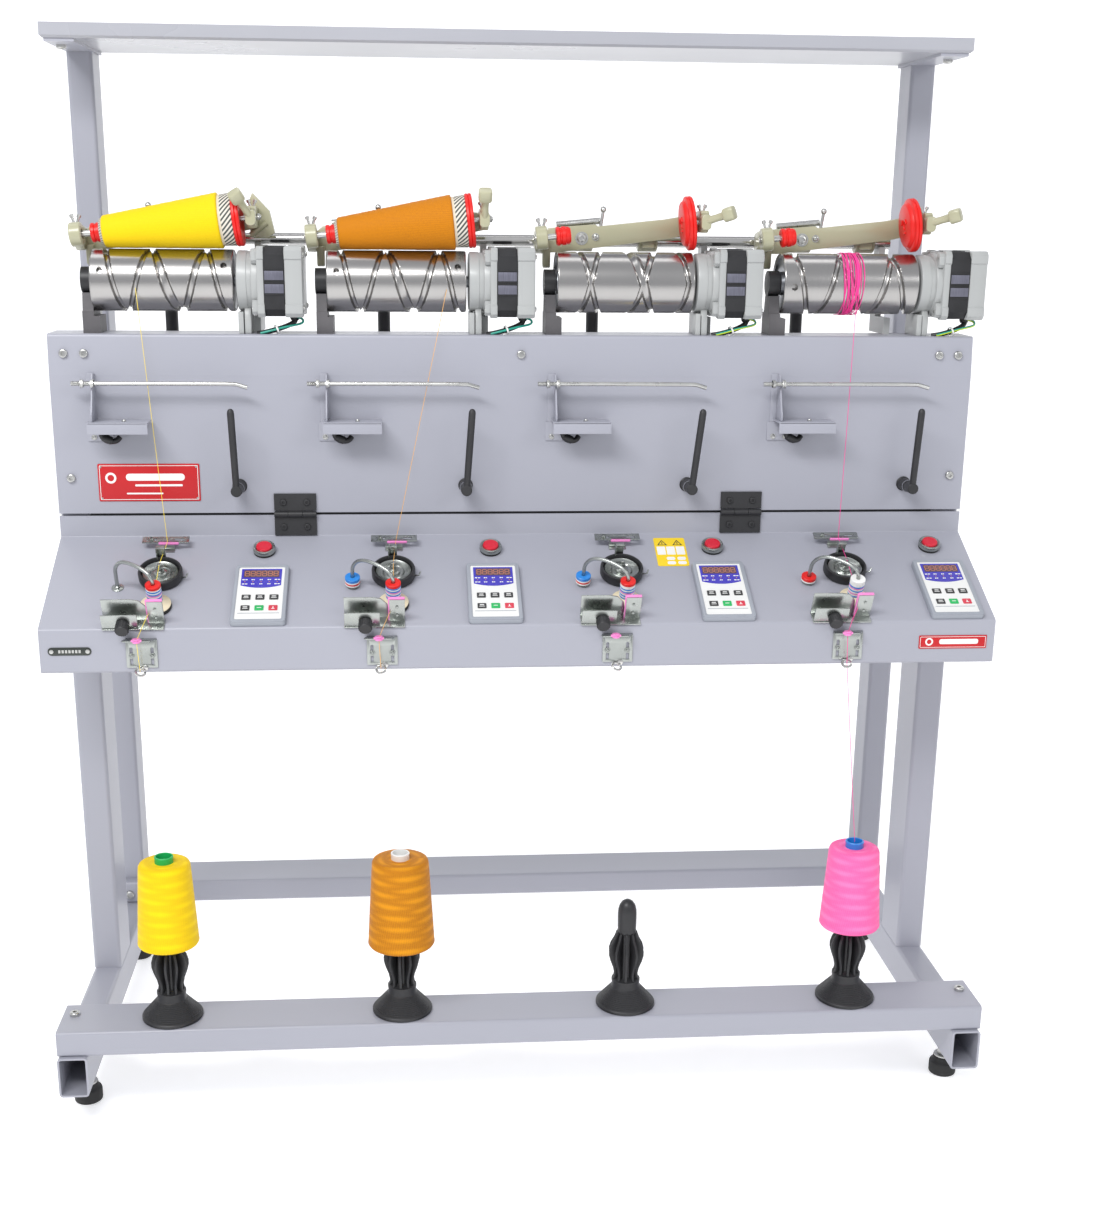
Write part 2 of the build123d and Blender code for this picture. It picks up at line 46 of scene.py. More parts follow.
HEADS = 4
WOUND_HEADS = (0, 1)
HEAD_X = [-435.0 + 290.0 * n for n in range(HEADS)]
DRUM_Y, DRUM_Z, DRUM_R = 35.0, 1035.3, 38.0
SHAFT_Y, SHAFT_Z = 95.0, 1085.5
CONE_Z, CONE_TILT = 1093.2, radians(5.8)
CONE_SMALL_R, CONE_SLOPE = 16.4, 0.0975
YARN_SMALL_R, YARN_SLOPE = 19.5, 0.1016
DISC_FACE = (164.1, 164.1, 153.8, 153.8)
DECK = 971.0
SLOPE_TOP, SLOPE_FRONT_Y, SLOPE_FRONT_Z = 715.0, -164.5, 634.0
BEAM_TOP = 135.4
SPOOL_X = (-451.0, -160.0, 128.0, 418.0)
SPOOL_Y = -200.0
LEVER_Z = 780.0
THREAD_RADIUS = 0.35
LEVER_LEAN = (-2.0, 4.3, 6.4, 3.0)
HANDLE_TURN = (122.0, 90.0, 20.0, 20.0)

slope = Vector((0, SLOPE_FRONT_Y, SLOPE_FRONT_Z - SLOPE_TOP)).normalized()
slope_normal = Vector((0, slope.z, -slope.y))


# ---------------------------------------------------------------- mesh tools

def frame_matrix(origin, x_axis, z_axis):
    """A placement whose local X and Z point along the given directions."""
    z = Vector(z_axis).normalized()
    x = Vector(x_axis)
    x = (x - z * x.dot(z)).normalized()
    y = z.cross(x)
    rotation = Matrix((x, y, z)).transposed().to_4x4()
    return Matrix.Translation(origin) @ rotation


def on_console(x, s, h=0.0):
    """The place on the console slope at x, s down from its top edge and h off its face."""
    origin = Vector((x, 0, SLOPE_TOP)) + slope * s + slope_normal * h
    return frame_matrix(origin, (1, 0, 0), slope_normal)


def cone_place(head, distance):
    """The place on a head's cone axis, measured from the small end of the cone."""
    axis = Vector((cos(CONE_TILT), 0, sin(CONE_TILT)))
    origin = Vector((HEAD_X[head] - 85, DRUM_Y, CONE_Z)) + axis * distance
    return frame_matrix(origin, (0, 1, 0), axis)


def along_x(x, y, z):
    return frame_matrix((x, y, z), (0, 1, 0), (1, 0, 0))


def facing_front(x, y, z):
    """Local Z points to the operator, local X to the right."""
    return frame_matrix((x, y, z), (1, 0, 0), (0, -1, 0))


def upright(x, y, z):
    return Matrix.Translation((x, y, z))


def moved(place, x, y, z):
    """A placement shifted along its own axes."""
    return place @ Matrix.Translation((x, y, z))


def profile_at(x):
    """Local X and Y are the layout's y and z, and the thickness runs to the right from x."""
    return along_x(x, 0, 0)


def add_box(bm, size, place, bevel=0.0, segments=2):
    """A box centred on place, with rounded edges."""
    made = bmesh.ops.create_cube(bm, size=1, matrix=place @ Matrix.Diagonal((*size, 1)))
    if bevel:
        edges = list({edge for vert in made["verts"] for edge in vert.link_edges})
        bmesh.ops.bevel(bm, geom=edges, offset=bevel, segments=segments, affect="EDGES", profile=0.5)


def add_span(bm, x, y, z, bevel=0.0):
    """A rounded box between two corners, given as its x, y and z ranges."""
    size = [b - a for a, b in (x, y, z)]
    middle = [(a + b) / 2 for a, b in (x, y, z)]
    add_box(bm, size, Matrix.Translation(middle), bevel)


def add_lathe(bm, profile, place, steps=48):
    """A turned shape: (radius, height) points revolved round place's Z axis."""
    rings = []
    for radius, height in profile:
        if radius < 1e-6:
            rings.append([bm.verts.new(place @ Vector((0, 0, height)))])
        else:
            rings.append([bm.verts.new(place @ Vector((radius * cos(2 * pi * k / steps),
                                                       radius * sin(2 * pi * k / steps), height)))
                          for k in range(steps)])
    for low, high in zip(rings, rings[1:]):
        for k in range(steps):
            a, b = low[k % len(low)], low[(k + 1) % len(low)]
            c, d = high[(k + 1) % len(high)], high[k % len(high)]
            corners = [a]
            for vert in (b, c, d):
                if vert not in corners:
                    corners.append(vert)
            if len(corners) > 2:
                bm.faces.new(corners)


def add_tube(bm, points, radius, sides=12, cap=True):
    """A round bar whose centreline follows the points."""
    points = [Vector(p) for p in points]
    tangents = []
    for k, point in enumerate(points):
        before, after = points[max(k - 1, 0)], points[min(k + 1, len(points) - 1)]
        tangents.append((after - before).normalized())
    side = tangents[0].orthogonal().normalized()
    rings = []
    for point, tangent in zip(points, tangents):
        side = (side - tangent * side.dot(tangent)).normalized()
        other = tangent.cross(side)
        around = [2 * pi * k / sides for k in range(sides)]
        rings.append([bm.verts.new(point + (side * cos(turn) + other * sin(turn)) * radius)
                      for turn in around])
    for low, high in zip(rings, rings[1:]):
        for k in range(sides):
            bm.faces.new((low[k], low[(k + 1) % sides], high[(k + 1) % sides], high[k]))
    if cap:
        bm.faces.new(rings[0][::-1])
        bm.faces.new(rings[-1])


def smooth_path(points, rounds=3):
    """Corner-cutting that turns a few chosen points into a soft bend."""
    points = [Vector(p) for p in points]
    for _ in range(rounds):
        cut = [points[0]]
        for a, b in zip(points, points[1:]):
            cut += [a.lerp(b, 0.25), a.lerp(b, 0.75)]
        points = cut + [points[-1]]
    return points


def add_prism(bm, outline, depth, place, bevel=0.0, holes=()):
    """A flat plate: an outline in local X and Y, with holes, from local Z = 0 to depth."""
    loops = [outline, *holes]
    flat = bmesh.new()
    for loop in loops:
        verts = [flat.verts.new((x, y, 0)) for x, y in loop]
        for a, b in zip(verts, verts[1:] + verts[:1]):
            flat.edges.new((a, b))
    bmesh.ops.triangle_fill(flat, edges=list(flat.edges), use_beauty=True)
    bmesh.ops.dissolve_limit(flat, angle_limit=0.01, verts=list(flat.verts), edges=list(flat.edges))
    made = bmesh.ops.extrude_face_region(flat, geom=list(flat.faces))
    top = [item for item in made["geom"] if isinstance(item, bmesh.types.BMVert)]
    bmesh.ops.translate(flat, verts=top, vec=(0, 0, depth))
    bmesh.ops.recalc_face_normals(flat, faces=list(flat.faces))
    if bevel:
        sharp = [e for e in flat.edges if len(e.link_faces) == 2 and e.calc_face_angle(0) > 0.9]
        bmesh.ops.bevel(flat, geom=sharp, offset=bevel, segments=2, affect="EDGES", profile=0.5)
    flat.transform(place)
    mesh = bpy.data.meshes.new("prism")
    flat.to_mesh(mesh)
    flat.free()
    bm.from_mesh(mesh)
    bpy.data.meshes.remove(mesh)


def arc_points(cx, cy, radius, start, end, steps):
    """Points on an arc, with angles in degrees."""
    return [(cx + radius * cos(radians(start + (end - start) * k / steps)),
             cy + radius * sin(radians(start + (end - start) * k / steps))) for k in range(steps + 1)]


def rounded_outline(width, height, radius, steps=4):
    """A rectangle with round corners, centred on the origin."""
    w, h = width / 2 - radius, height / 2 - radius
    corners = [(w, h, 0), (-w, h, 90), (-w, -h, 180), (w, -h, 270)]
    return [point for x, y, turn in corners for point in arc_points(x, y, radius, turn, turn + 90, steps)]


def slot_outline(cx, cy, width, height):
    """A straight slot with round ends."""
    return [(cx + x, cy + y) for x, y in rounded_outline(width, height, min(width, height) / 2 - 0.01, 5)]


def add_hex(bm, across, depth, place, bevel=0.4):
    outline = [(across / 2 * cos(k * pi / 3), across / 2 * sin(k * pi / 3)) for k in range(6)]
    add_prism(bm, outline, depth, place, bevel)


def add_screw(bm, place, radius=4.0, height=3.0):
    """A button-head screw with a socket and a washer, standing on place."""
    add_lathe(bm, [(0, 0), (radius * 1.35, 0), (radius * 1.35, 0.8), (radius, 0.8), (radius, height * 0.6),
                   (radius * 0.8, height * 0.92), (radius * 0.5, height), (radius * 0.45, height * 0.5),
                   (0, height * 0.5)], place, 20)


def piece(name, bm, body, material, replaces=(), slot=None, angle=35):
    """Turns a mesh in layout millimetres into a finished piece that rides on a body."""
    bm.transform(WORLD)
    bmesh.ops.recalc_face_normals(bm, faces=list(bm.faces))
    mesh = bpy.data.meshes.new(name)
    bm.to_mesh(mesh)
    bm.free()
    mesh.polygons.foreach_set("use_smooth", [True] * len(mesh.polygons))
    mesh.set_sharp_from_angle(angle=radians(angle))
    mesh.materials.append(material)
    made = bpy.data.objects.new(name, mesh)
    bpy.context.collection.objects.link(made)
    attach(made, body)
    if replaces:
        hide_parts(*replaces)
    return made


# ---------------------------------------------------------------- materials

def node_material(name):
    material = bpy.data.materials.new(name)
    material.use_nodes = True
    tree = material.node_tree
    return material, tree, tree.nodes["Principled BSDF"]


def coordinates(tree, scale=(1, 1, 1)):
    source = tree.nodes.new("ShaderNodeTexCoord")
    mapping = tree.nodes.new("ShaderNodeMapping")
    mapping.inputs["Scale"].default_value = scale
    tree.links.new(source.outputs["Object"], mapping.inputs["Vector"])
    return mapping.outputs["Vector"]


def noise(tree, vector, scale, detail=3.0, roughness=0.5):
    node = tree.nodes.new("ShaderNodeTexNoise")
    node.inputs["Scale"].default_value = scale
    node.inputs["Detail"].default_value = detail
    node.inputs["Roughness"].default_value = roughness
    tree.links.new(vector, node.inputs["Vector"])
    return node.outputs["Fac"]


def ramp(tree, value, *stops):
    """A colour or value ramp: stops are (position, colour) with a grey given as one number."""
    node = tree.nodes.new("ShaderNodeValToRGB")
    elements = node.color_ramp.elements
    while len(elements) < len(stops):
        elements.new(0.5)
    for element, (position, colour) in zip(elements, stops):
        element.position = position
        element.color = (*colour, 1) if isinstance(colour, tuple) else (colour, colour, colour, 1)
    tree.links.new(value, node.inputs["Fac"])
    return node.outputs["Color"]


def bump(tree, shader, height, strength, distance=0.001):
    node = tree.nodes.new("ShaderNodeBump")
    node.inputs["Strength"].default_value = strength
    node.inputs["Distance"].default_value = distance
    tree.links.new(height, node.inputs["Height"])
    tree.links.new(node.outputs["Normal"], shader.inputs["Normal"])


def shade(colour, factor):
    return tuple(min(1.0, c * factor) for c in colour)


def finish_material(name, colour, rough=(0.35, 0.45), metallic=0.0, coat=0.0, grain=400.0,
                    grain_strength=0.08, variation=0.05, patch=6.0, stretch=(1, 1, 1)):
    """A general finish: slight colour variation, a roughness band and a fine surface grain."""
    material, tree, shader = node_material(name)
    shader.inputs["Metallic"].default_value = metallic
    if coat:
        shader.inputs["Coat Weight"].default_value = coat
        shader.inputs["Coat Roughness"].default_value = 0.15
    place = coordinates(tree, stretch)
    cloud = noise(tree, place, patch, 4)
    fine = noise(tree, place, grain, 2)
    colour_out = ramp(tree, cloud, (0.3, shade(colour, 1 - variation)), (0.7, shade(colour, 1 + variation)))
    tree.links.new(colour_out, shader.inputs["Base Color"])
    tree.links.new(ramp(tree, cloud, (0.25, rough[0]), (0.75, rough[1])), shader.inputs["Roughness"])
    bump(tree, shader, fine, grain_strength, 0.0005)
    return material


def turned_steel(name, colour, rough=(0.22, 0.28), strength=0.02, metallic=1.0):
    """Steel ground on a lathe: fine lines run round the X axis."""
    material, tree, shader = node_material(name)
    shader.inputs["Metallic"].default_value = metallic
    place = coordinates(tree, (1, 0.02, 0.02))
    lines = noise(tree, place, 1800, 3, 0.6)
    cloud = noise(tree, coordinates(tree), 9, 2)
    tree.links.new(ramp(tree, lines, (0.3, shade(colour, 0.96)), (0.7, shade(colour, 1.03))),
                   shader.inputs["Base Color"])
    tree.links.new(ramp(tree, cloud, (0.3, rough[0]), (0.7, rough[1])), shader.inputs["Roughness"])
    bump(tree, shader, lines, strength, 0.0003)
    return material


def wrapped(tree, skew, scale=(1, 1, 1)):
    """Coordinates that run round (X) and along (Y) a wound body; skew tilts the rows like a helix."""
    source = tree.nodes.new("ShaderNodeUVMap")
    source.uv_map = "wrap"
    parts = tree.nodes.new("ShaderNodeSeparateXYZ")
    tree.links.new(source.outputs["UV"], parts.inputs["Vector"])
    lean = tree.nodes.new("ShaderNodeMath")
    lean.operation = "MULTIPLY_ADD"
    lean.inputs[1].default_value = skew
    tree.links.new(parts.outputs["X"], lean.inputs[0])
    tree.links.new(parts.outputs["Y"], lean.inputs[2])
    whole = tree.nodes.new("ShaderNodeCombineXYZ")
    for index, (value, factor) in enumerate(((parts.outputs["X"], scale[0]), (lean.outputs[0], scale[1]))):
        sized = tree.nodes.new("ShaderNodeMath")
        sized.operation = "MULTIPLY"
        sized.inputs[1].default_value = factor
        tree.links.new(value, sized.inputs[0])
        tree.links.new(sized.outputs[0], whole.inputs[index])
    return whole.outputs["Vector"]


def wave(tree, vector, scale, distortion=0.0, detail_scale=1.0):
    node = tree.nodes.new("ShaderNodeTexWave")
    node.bands_direction = "Y"
    node.inputs["Scale"].default_value = scale
    node.inputs["Distortion"].default_value = distortion
    node.inputs["Detail"].default_value = 2
    node.inputs["Detail Scale"].default_value = detail_scale
    tree.links.new(vector, node.inputs["Vector"])
    return node.outputs["Fac"]


def combine(tree, operation, first, second):
    node = tree.nodes.new("ShaderNodeMath")
    node.operation = operation
    tree.links.new(first, node.inputs[0])
    if isinstance(second, float):
        node.inputs[1].default_value = second
    else:
        tree.links.new(second, node.inputs[1])
    return node.outputs[0]


def yarn_material(name, dark, light, band=0.0):
    """Thread wound in crossing layers: fine lines in two directions over broad slanting bands."""
    material, tree, shader = node_material(name)
    shader.inputs["Sheen Weight"].default_value = 0.08
    shader.inputs["Sheen Roughness"].default_value = 0.4
    shader.inputs["Specular IOR Level"].default_value = 0.25
    first = wave(tree, wrapped(tree, 0.6), 22, 1.5, 3.0)
    second = wave(tree, wrapped(tree, -0.6), 24, 1.5, 3.0)
    broad_up = wave(tree, wrapped(tree, 0.34), 2.3, 1.2, 1.5)
    broad_down = wave(tree, wrapped(tree, -0.34), 2.0, 1.2, 1.5)
    fibre = noise(tree, wrapped(tree, 0.6, (40, 300)), 1, 3, 0.6)
    lines = combine(tree, "MAXIMUM", first, second)
    broad = combine(tree, "MULTIPLY", broad_up, broad_down)
    tone = combine(tree, "ADD", combine(tree, "MULTIPLY", lines, 0.30),
                   combine(tree, "MULTIPLY", broad, band))
    tone = combine(tree, "ADD", tone, combine(tree, "MULTIPLY", fibre, 0.40))
    tree.links.new(ramp(tree, tone, (0.22, dark), (0.55 + band * 0.5, light)), shader.inputs["Base Color"])
    tree.links.new(ramp(tree, fibre, (0.3, 0.6), (0.7, 0.8)), shader.inputs["Roughness"])
    bump(tree, shader, lines, 0.25, 0.0005)
    return material


def striped_paper():
    """White paper cone printed with slanting dark stripes, with a plain border by the thread."""
    material, tree, shader = node_material("striped_paper")
    bands = wave(tree, wrapped(tree, 1.95), 5.1)
    fibre = noise(tree, wrapped(tree, 0.0, (60, 200)), 1, 3)
    tree.links.new(ramp(tree, bands, (0.40, (0.05, 0.06, 0.055)), (0.52, (0.66, 0.62, 0.54))),
                   shader.inputs["Base Color"])
    tree.links.new(ramp(tree, fibre, (0.3, 0.5), (0.7, 0.75)), shader.inputs["Roughness"])
    bump(tree, shader, fibre, 0.15, 0.0004)
    return material


frame_paint = finish_material("frame_paint", (0.345, 0.35, 0.40), (0.34, 0.46), 0.0, 0.15, 900, 0.10, 0.02, 3)
shelf_laminate = finish_material("shelf_laminate", (0.36, 0.365, 0.40), (0.25, 0.38), 0.0, 0.2, 500, 0.05,
                                 0.03, 4)
zinc = finish_material("zinc_plate", (0.40, 0.42, 0.40), (0.20, 0.36), 1.0, 0.0, 500, 0.08, 0.08, 40)
screw_steel = finish_material("screw_steel", (0.55, 0.55, 0.53), (0.22, 0.36), 1.0, 0.0, 600, 0.06, 0.06, 80)
drum_steel = turned_steel("drum_steel", (0.42, 0.41, 0.40))
groove_steel = turned_steel("groove_steel", (0.30, 0.31, 0.33), (0.28, 0.42))
shaft_steel = turned_steel("shaft_steel", (0.62, 0.61, 0.59), (0.12, 0.2), 0.02)
black_plastic = finish_material("black_plastic", (0.018, 0.018, 0.02), (0.38, 0.52), 0.0, 0.0, 700, 0.10,
                                0.15, 20)
black_enamel = finish_material("black_enamel", (0.02, 0.02, 0.022), (0.42, 0.60), 0.0, 0.0, 900, 0.2, 0.2, 30)
dark_casting = finish_material("dark_casting", (0.105, 0.10, 0.105), (0.45, 0.62), 0.2, 0.0, 350, 0.3,
                               0.12, 30)
motor_paint = finish_material("motor_paint", (0.38, 0.39, 0.385), (0.32, 0.45), 0.0, 0.1, 500, 0.12, 0.03, 12)
stator_black = finish_material("stator_black", (0.022, 0.022, 0.024), (0.45, 0.65), 0.3, 0.0, 300, 0.35,
                               0.2, 40)
lamination = finish_material("lamination", (0.15, 0.15, 0.19), (0.4, 0.55), 0.6, 0.0, 400, 0.3, 0.2, 60,
                             (40, 1, 1))
beige_paint = finish_material("beige_paint", (0.40, 0.39, 0.26), (0.25, 0.38), 0.0, 0.25, 500, 0.08, 0.03, 14)
red_plastic = finish_material("red_plastic", (0.68, 0.004, 0.001), (0.35, 0.5), 0.0, 0.0, 500, 0.06, 0.05, 30)
red_cap = finish_material("red_cap", (0.60, 0.010, 0.03), (0.22, 0.35), 0.0, 0.2, 500, 0.03, 0.04, 30)
blue_plastic = finish_material("blue_plastic", (0.02, 0.22, 0.65), (0.28, 0.42), 0.0, 0.1, 500, 0.06, 0.05,
                               30)
white_plastic = finish_material("white_plastic", (0.80, 0.80, 0.78), (0.35, 0.5), 0.0, 0.0, 500, 0.06,
                                0.03, 30)
pink_plastic = finish_material("pink_plastic", (0.80, 0.24, 0.55), (0.3, 0.45), 0.0, 0.1, 500, 0.06, 0.06, 30)
cream_ceramic = finish_material("cream_ceramic", (0.72, 0.63, 0.44), (0.35, 0.5), 0.0, 0.1, 400, 0.10, 0.06, 25)
rubber = finish_material("rubber", (0.018, 0.018, 0.018), (0.6, 0.8), 0.0, 0.0, 500, 0.2, 0.2, 30)
panel_grey = finish_material("panel_grey", (0.30, 0.32, 0.36), (0.35, 0.5), 0.0, 0.0, 600, 0.08, 0.04, 20)
panel_white = finish_material("panel_white", (0.74, 0.74, 0.72), (0.3, 0.42), 0.0, 0.1, 600, 0.04, 0.02, 20)
window_blue = finish_material("window_blue", (0.05, 0.04, 0.42), (0.15, 0.25), 0.0, 0.3, 600, 0.02, 0.05, 20)
digit_brown = finish_material("digit_brown", (0.42, 0.16, 0.10), (0.3, 0.4), 0.0, 0.0, 600, 0.02, 0.05, 20)
display_dark = finish_material("display_dark", (0.10, 0.06, 0.08), (0.2, 0.3), 0.0, 0.2, 600, 0.02, 0.05, 20)
key_black = finish_material("key_black", (0.03, 0.03, 0.03), (0.4, 0.5), 0.0, 0.0, 600, 0.05, 0.1, 20)
key_green = finish_material("key_green", (0.01, 0.42, 0.10), (0.4, 0.5), 0.0, 0.0, 600, 0.05, 0.1, 20)
key_red = finish_material("key_red", (0.62, 0.04, 0.07), (0.4, 0.5), 0.0, 0.0, 600, 0.05, 0.1, 20)
label_red = finish_material("label_red", (0.50, 0.004, 0.008), (0.35, 0.45), 0.0, 0.0, 300, 0.03, 0.05, 12)
label_yellow = finish_material("label_yellow", (0.85, 0.60, 0.01), (0.25, 0.38), 0.0, 0.2, 300, 0.03, 0.04,
                               12)
label_black = finish_material("label_black", (0.025, 0.03, 0.025), (0.25, 0.38), 0.0, 0.2, 300, 0.03, 0.05,
                              12)
wire_green = finish_material("wire_green", (0.01, 0.30, 0.22), (0.35, 0.5), 0.0, 0.0, 300, 0.05, 0.1, 40)
wire_yellow = finish_material("wire_yellow", (0.55, 0.70, 0.02), (0.35, 0.5), 0.0, 0.0, 300, 0.05, 0.1, 40)
yellow_yarn = yarn_material("yellow_yarn", (0.72, 0.48, 0.0), (0.84, 0.60, 0.0))
orange_yarn = yarn_material("orange_yarn", (0.36, 0.11, 0.0), (0.62, 0.22, 0.0))
pink_yarn = yarn_material("pink_yarn", (0.90, 0.07, 0.30), (1.0, 0.22, 0.50), 0.25)
yellow_banded = yarn_material("yellow_banded_yarn", (0.72, 0.44, 0.0), (0.92, 0.66, 0.0), 0.25)
orange_banded = yarn_material("orange_banded_yarn", (0.34, 0.10, 0.001), (0.72, 0.29, 0.004), 0.30)
paper_stripes = striped_paper()
paper_plain = finish_material("plain_paper", (0.62, 0.56, 0.44), (0.5, 0.65), 0, 0, 700, 0.1, 0.04, 40)


def paint_node(node, material):
    """Gives a CAD node its finish."""
    mesh_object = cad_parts[node]
    for index in range(len(mesh_object.material_slots)):
        mesh_object.material_slots[index].material = material
    if not mesh_object.material_slots:
        mesh_object.data.materials.append(material)


def paint_cad_nodes():
    finishes = {
        frame_paint: ["foot_tubes", "front_posts", "rear_posts", "cross_beams", "hood_panel", "console_lid",
                      "service_tray", "guide_brackets"], shelf_laminate: ["shelf_board"],
        screw_steel: ["frame_screws", "guide_rods"], shaft_steel: ["cradle_shaft"],
        black_enamel: ["hood_hinge_leaves", "lid_hinge_leaves", "lift_stops"],
        dark_casting: ["drum_brackets"],
        black_plastic: ["motor_drivers", "bearing_hubs", "thread_sensors"],
        motor_paint: ["shaft_supports"], }
    for material, nodes in finishes.items():
        for node in nodes:
            paint_node(node, material)


# ---------------------------------------------------------------- drums and cones

def groove_depth(x, angle):
    """How far the crossing thread groove lies below the drum face at a place on it."""
    turns, reach, depth = 5.0, 75.0, 5.0
    deepest = 0.0
    for lap in range(int(turns)):
        phase = ((angle / (2 * pi) + lap) % turns) / turns
        forward = phase < 0.5
        centre = reach * (4 * phase - 1 if forward else 3 - 4 * phase)
        centre = 4 + centre * 0.7 + 0.3 * reach * sin(centre / reach * pi / 2)
        half_width = 3.3
        if forward:
            half_width += 3.4 * max(0.0, 1 - ((centre - 12) / 24) ** 2)
        else:
            half_width += 1.2 * max(0.0, 1 - ((centre - 36) / 18) ** 2)
        across = abs(x - centre) / half_width
        if across < 1:
            deepest = max(deepest, depth * (1 - across ** 4) ** 0.7)
    return deepest


def drum(head, phase):
    """A steel drum with its crossing groove, end faces, set-screw holes and journals."""
    centre_x = HEAD_X[head] - 10.5
    length, around, steps = 175.0, 216, 250
    holes = [(-74.5, radians(250)), (76.5, radians(250 if head == 3 else 60)), (-74.5, radians(70))]
    bm = bmesh.new()
    rings = []
    for i in range(steps + 1):
        x = -length / 2 + length * i / steps
        ring = []
        for k in range(around):
            angle = 2 * pi * k / around
            radius = DRUM_R - groove_depth(x, angle + phase)
            edge = length / 2 - abs(x)
            if edge < 1.2:
                radius = min(radius, DRUM_R - 1.2 + edge)
            for hole_x, hole_angle in holes:
                turn = (angle + phase - hole_angle + pi) % (2 * pi) - pi
                if hypot(x - hole_x, turn * DRUM_R) < 3.6:
                    radius = DRUM_R - 7
            ring.append(bm.verts.new((centre_x + x, DRUM_Y + radius * cos(angle),
                                      DRUM_Z + radius * sin(angle))))
        rings.append(ring)
    for low, high in zip(rings, rings[1:]):
        for k in range(around):
            bm.faces.new((low[k], low[(k + 1) % around], high[(k + 1) % around], high[k]))
    piece(f"grooved_drum_{head + 1}", bm, f"drum_{head + 1}", drum_steel, [f"drum_{head + 1}"],
          "drum_steel", 50)
    bm = bmesh.new()
    for side in (-1, 1):
        place = along_x(centre_x + side * (length / 2 - 0.6), DRUM_Y, DRUM_Z)
        if side < 0:
            add_lathe(bm, [(36.9, 0), (33, 0.2), (32.6, 3), (15, 4), (14.5, 0.4), (6.2, 0), (6, -11.5),
                           (0, -11.5)], place)
        else:
            add_lathe(bm, [(36.9, 0), (20, 0.3), (7.2, 0), (7, 15), (0, 15)], place)
    piece(f"drum_end_walls_{head + 1}", bm, f"drum_{head + 1}", groove_steel)


def wound_body(name, body, profile, place, material, replaces=(), slot=None, steps=96):
    """A turned body with coordinates that run round it for the thread pattern."""
    bm = bmesh.new()
    layer = bm.loops.layers.uv.new("wrap")
    columns = []
    for radius, height in profile:
        columns.append([bm.verts.new(place @ Vector((radius * cos(2 * pi * k / steps),
                                                     radius * sin(2 * pi * k / steps),
                                                     height))) for k in range(steps + 1)])
    run = 0.0
    for index, (low, high) in enumerate(zip(columns, columns[1:])):
        (r0, h0), (r1, h1) = profile[index], profile[index + 1]
        length = hypot(r1 - r0, h1 - h0) / 100
        for k in range(steps):
            face = bm.faces.new((low[k], low[k + 1], high[k + 1], high[k]))
            values = ((k / steps, run), ((k + 1) / steps, run), ((k + 1) / steps, run + length),
                      (k / steps, run + length))
            for loop, value in zip(face.loops, values):
                loop[layer].uv = value
        run += length
    return piece(name, bm, body, material, replaces, slot, 60)


def wound_cone(head):
    """Thread wound on a striped paper cone, gripped in the cradle."""
    number = head + 1
    body = f"chuck_{number}"
    yarn = yellow_yarn if head == 0 else orange_yarn
    slot_name = "yellow_yarn" if head == 0 else "orange_yarn"
    rng = random.Random(11 + head)
    profile = [(CONE_SMALL_R + 1, 2.2), (YARN_SMALL_R - 1.2, 2.6), (YARN_SMALL_R, 4)]
    for k in range(1, 72):
        u = 4 + (146 - 4) * k / 72
        profile.append((YARN_SMALL_R + YARN_SLOPE * u - 0.35 + rng.uniform(-0.16, 0.14), u))
    end = YARN_SMALL_R + YARN_SLOPE * 147
    profile += [(end - 0.5, 146), (end - 1.6, 147), (CONE_SMALL_R + CONE_SLOPE * 147 + 0.2, 147.5)]
    wound_body(f"wound_thread_{number}", body, profile, cone_place(head, 0), yarn, [f"wound_cone_{number}"],
               slot_name)
    shell = [(CONE_SMALL_R - 2.6, -0.6), (CONE_SMALL_R - 0.9, -1.2), (CONE_SMALL_R - 0.3, -0.6)]
    shell += [(CONE_SMALL_R + CONE_SLOPE * u, u) for u in (2, 50, 100, 147, 163)]
    shell += [(CONE_SMALL_R + CONE_SLOPE * 164 - 0.6, 164), (CONE_SMALL_R + CONE_SLOPE * 164 - 2.2, 163.6),
              (CONE_SMALL_R - 2.4, 0)]
    wound_body(f"paper_cone_{number}", body, shell, cone_place(head, 0), paper_stripes)


def paper_border(head):
    bm = bmesh.new()
    ring = [(CONE_SMALL_R + CONE_SLOPE * u + 0.12, u) for u in (147, 150.5)]
    add_lathe(bm, [*ring, (ring[1][0] - 0.3, 150.6), (ring[0][0] - 0.3, 146.9), ring[0]],
              cone_place(head, 0), 96)
    piece(f"paper_border_{head + 1}", bm, f"chuck_{head + 1}", paper_plain)


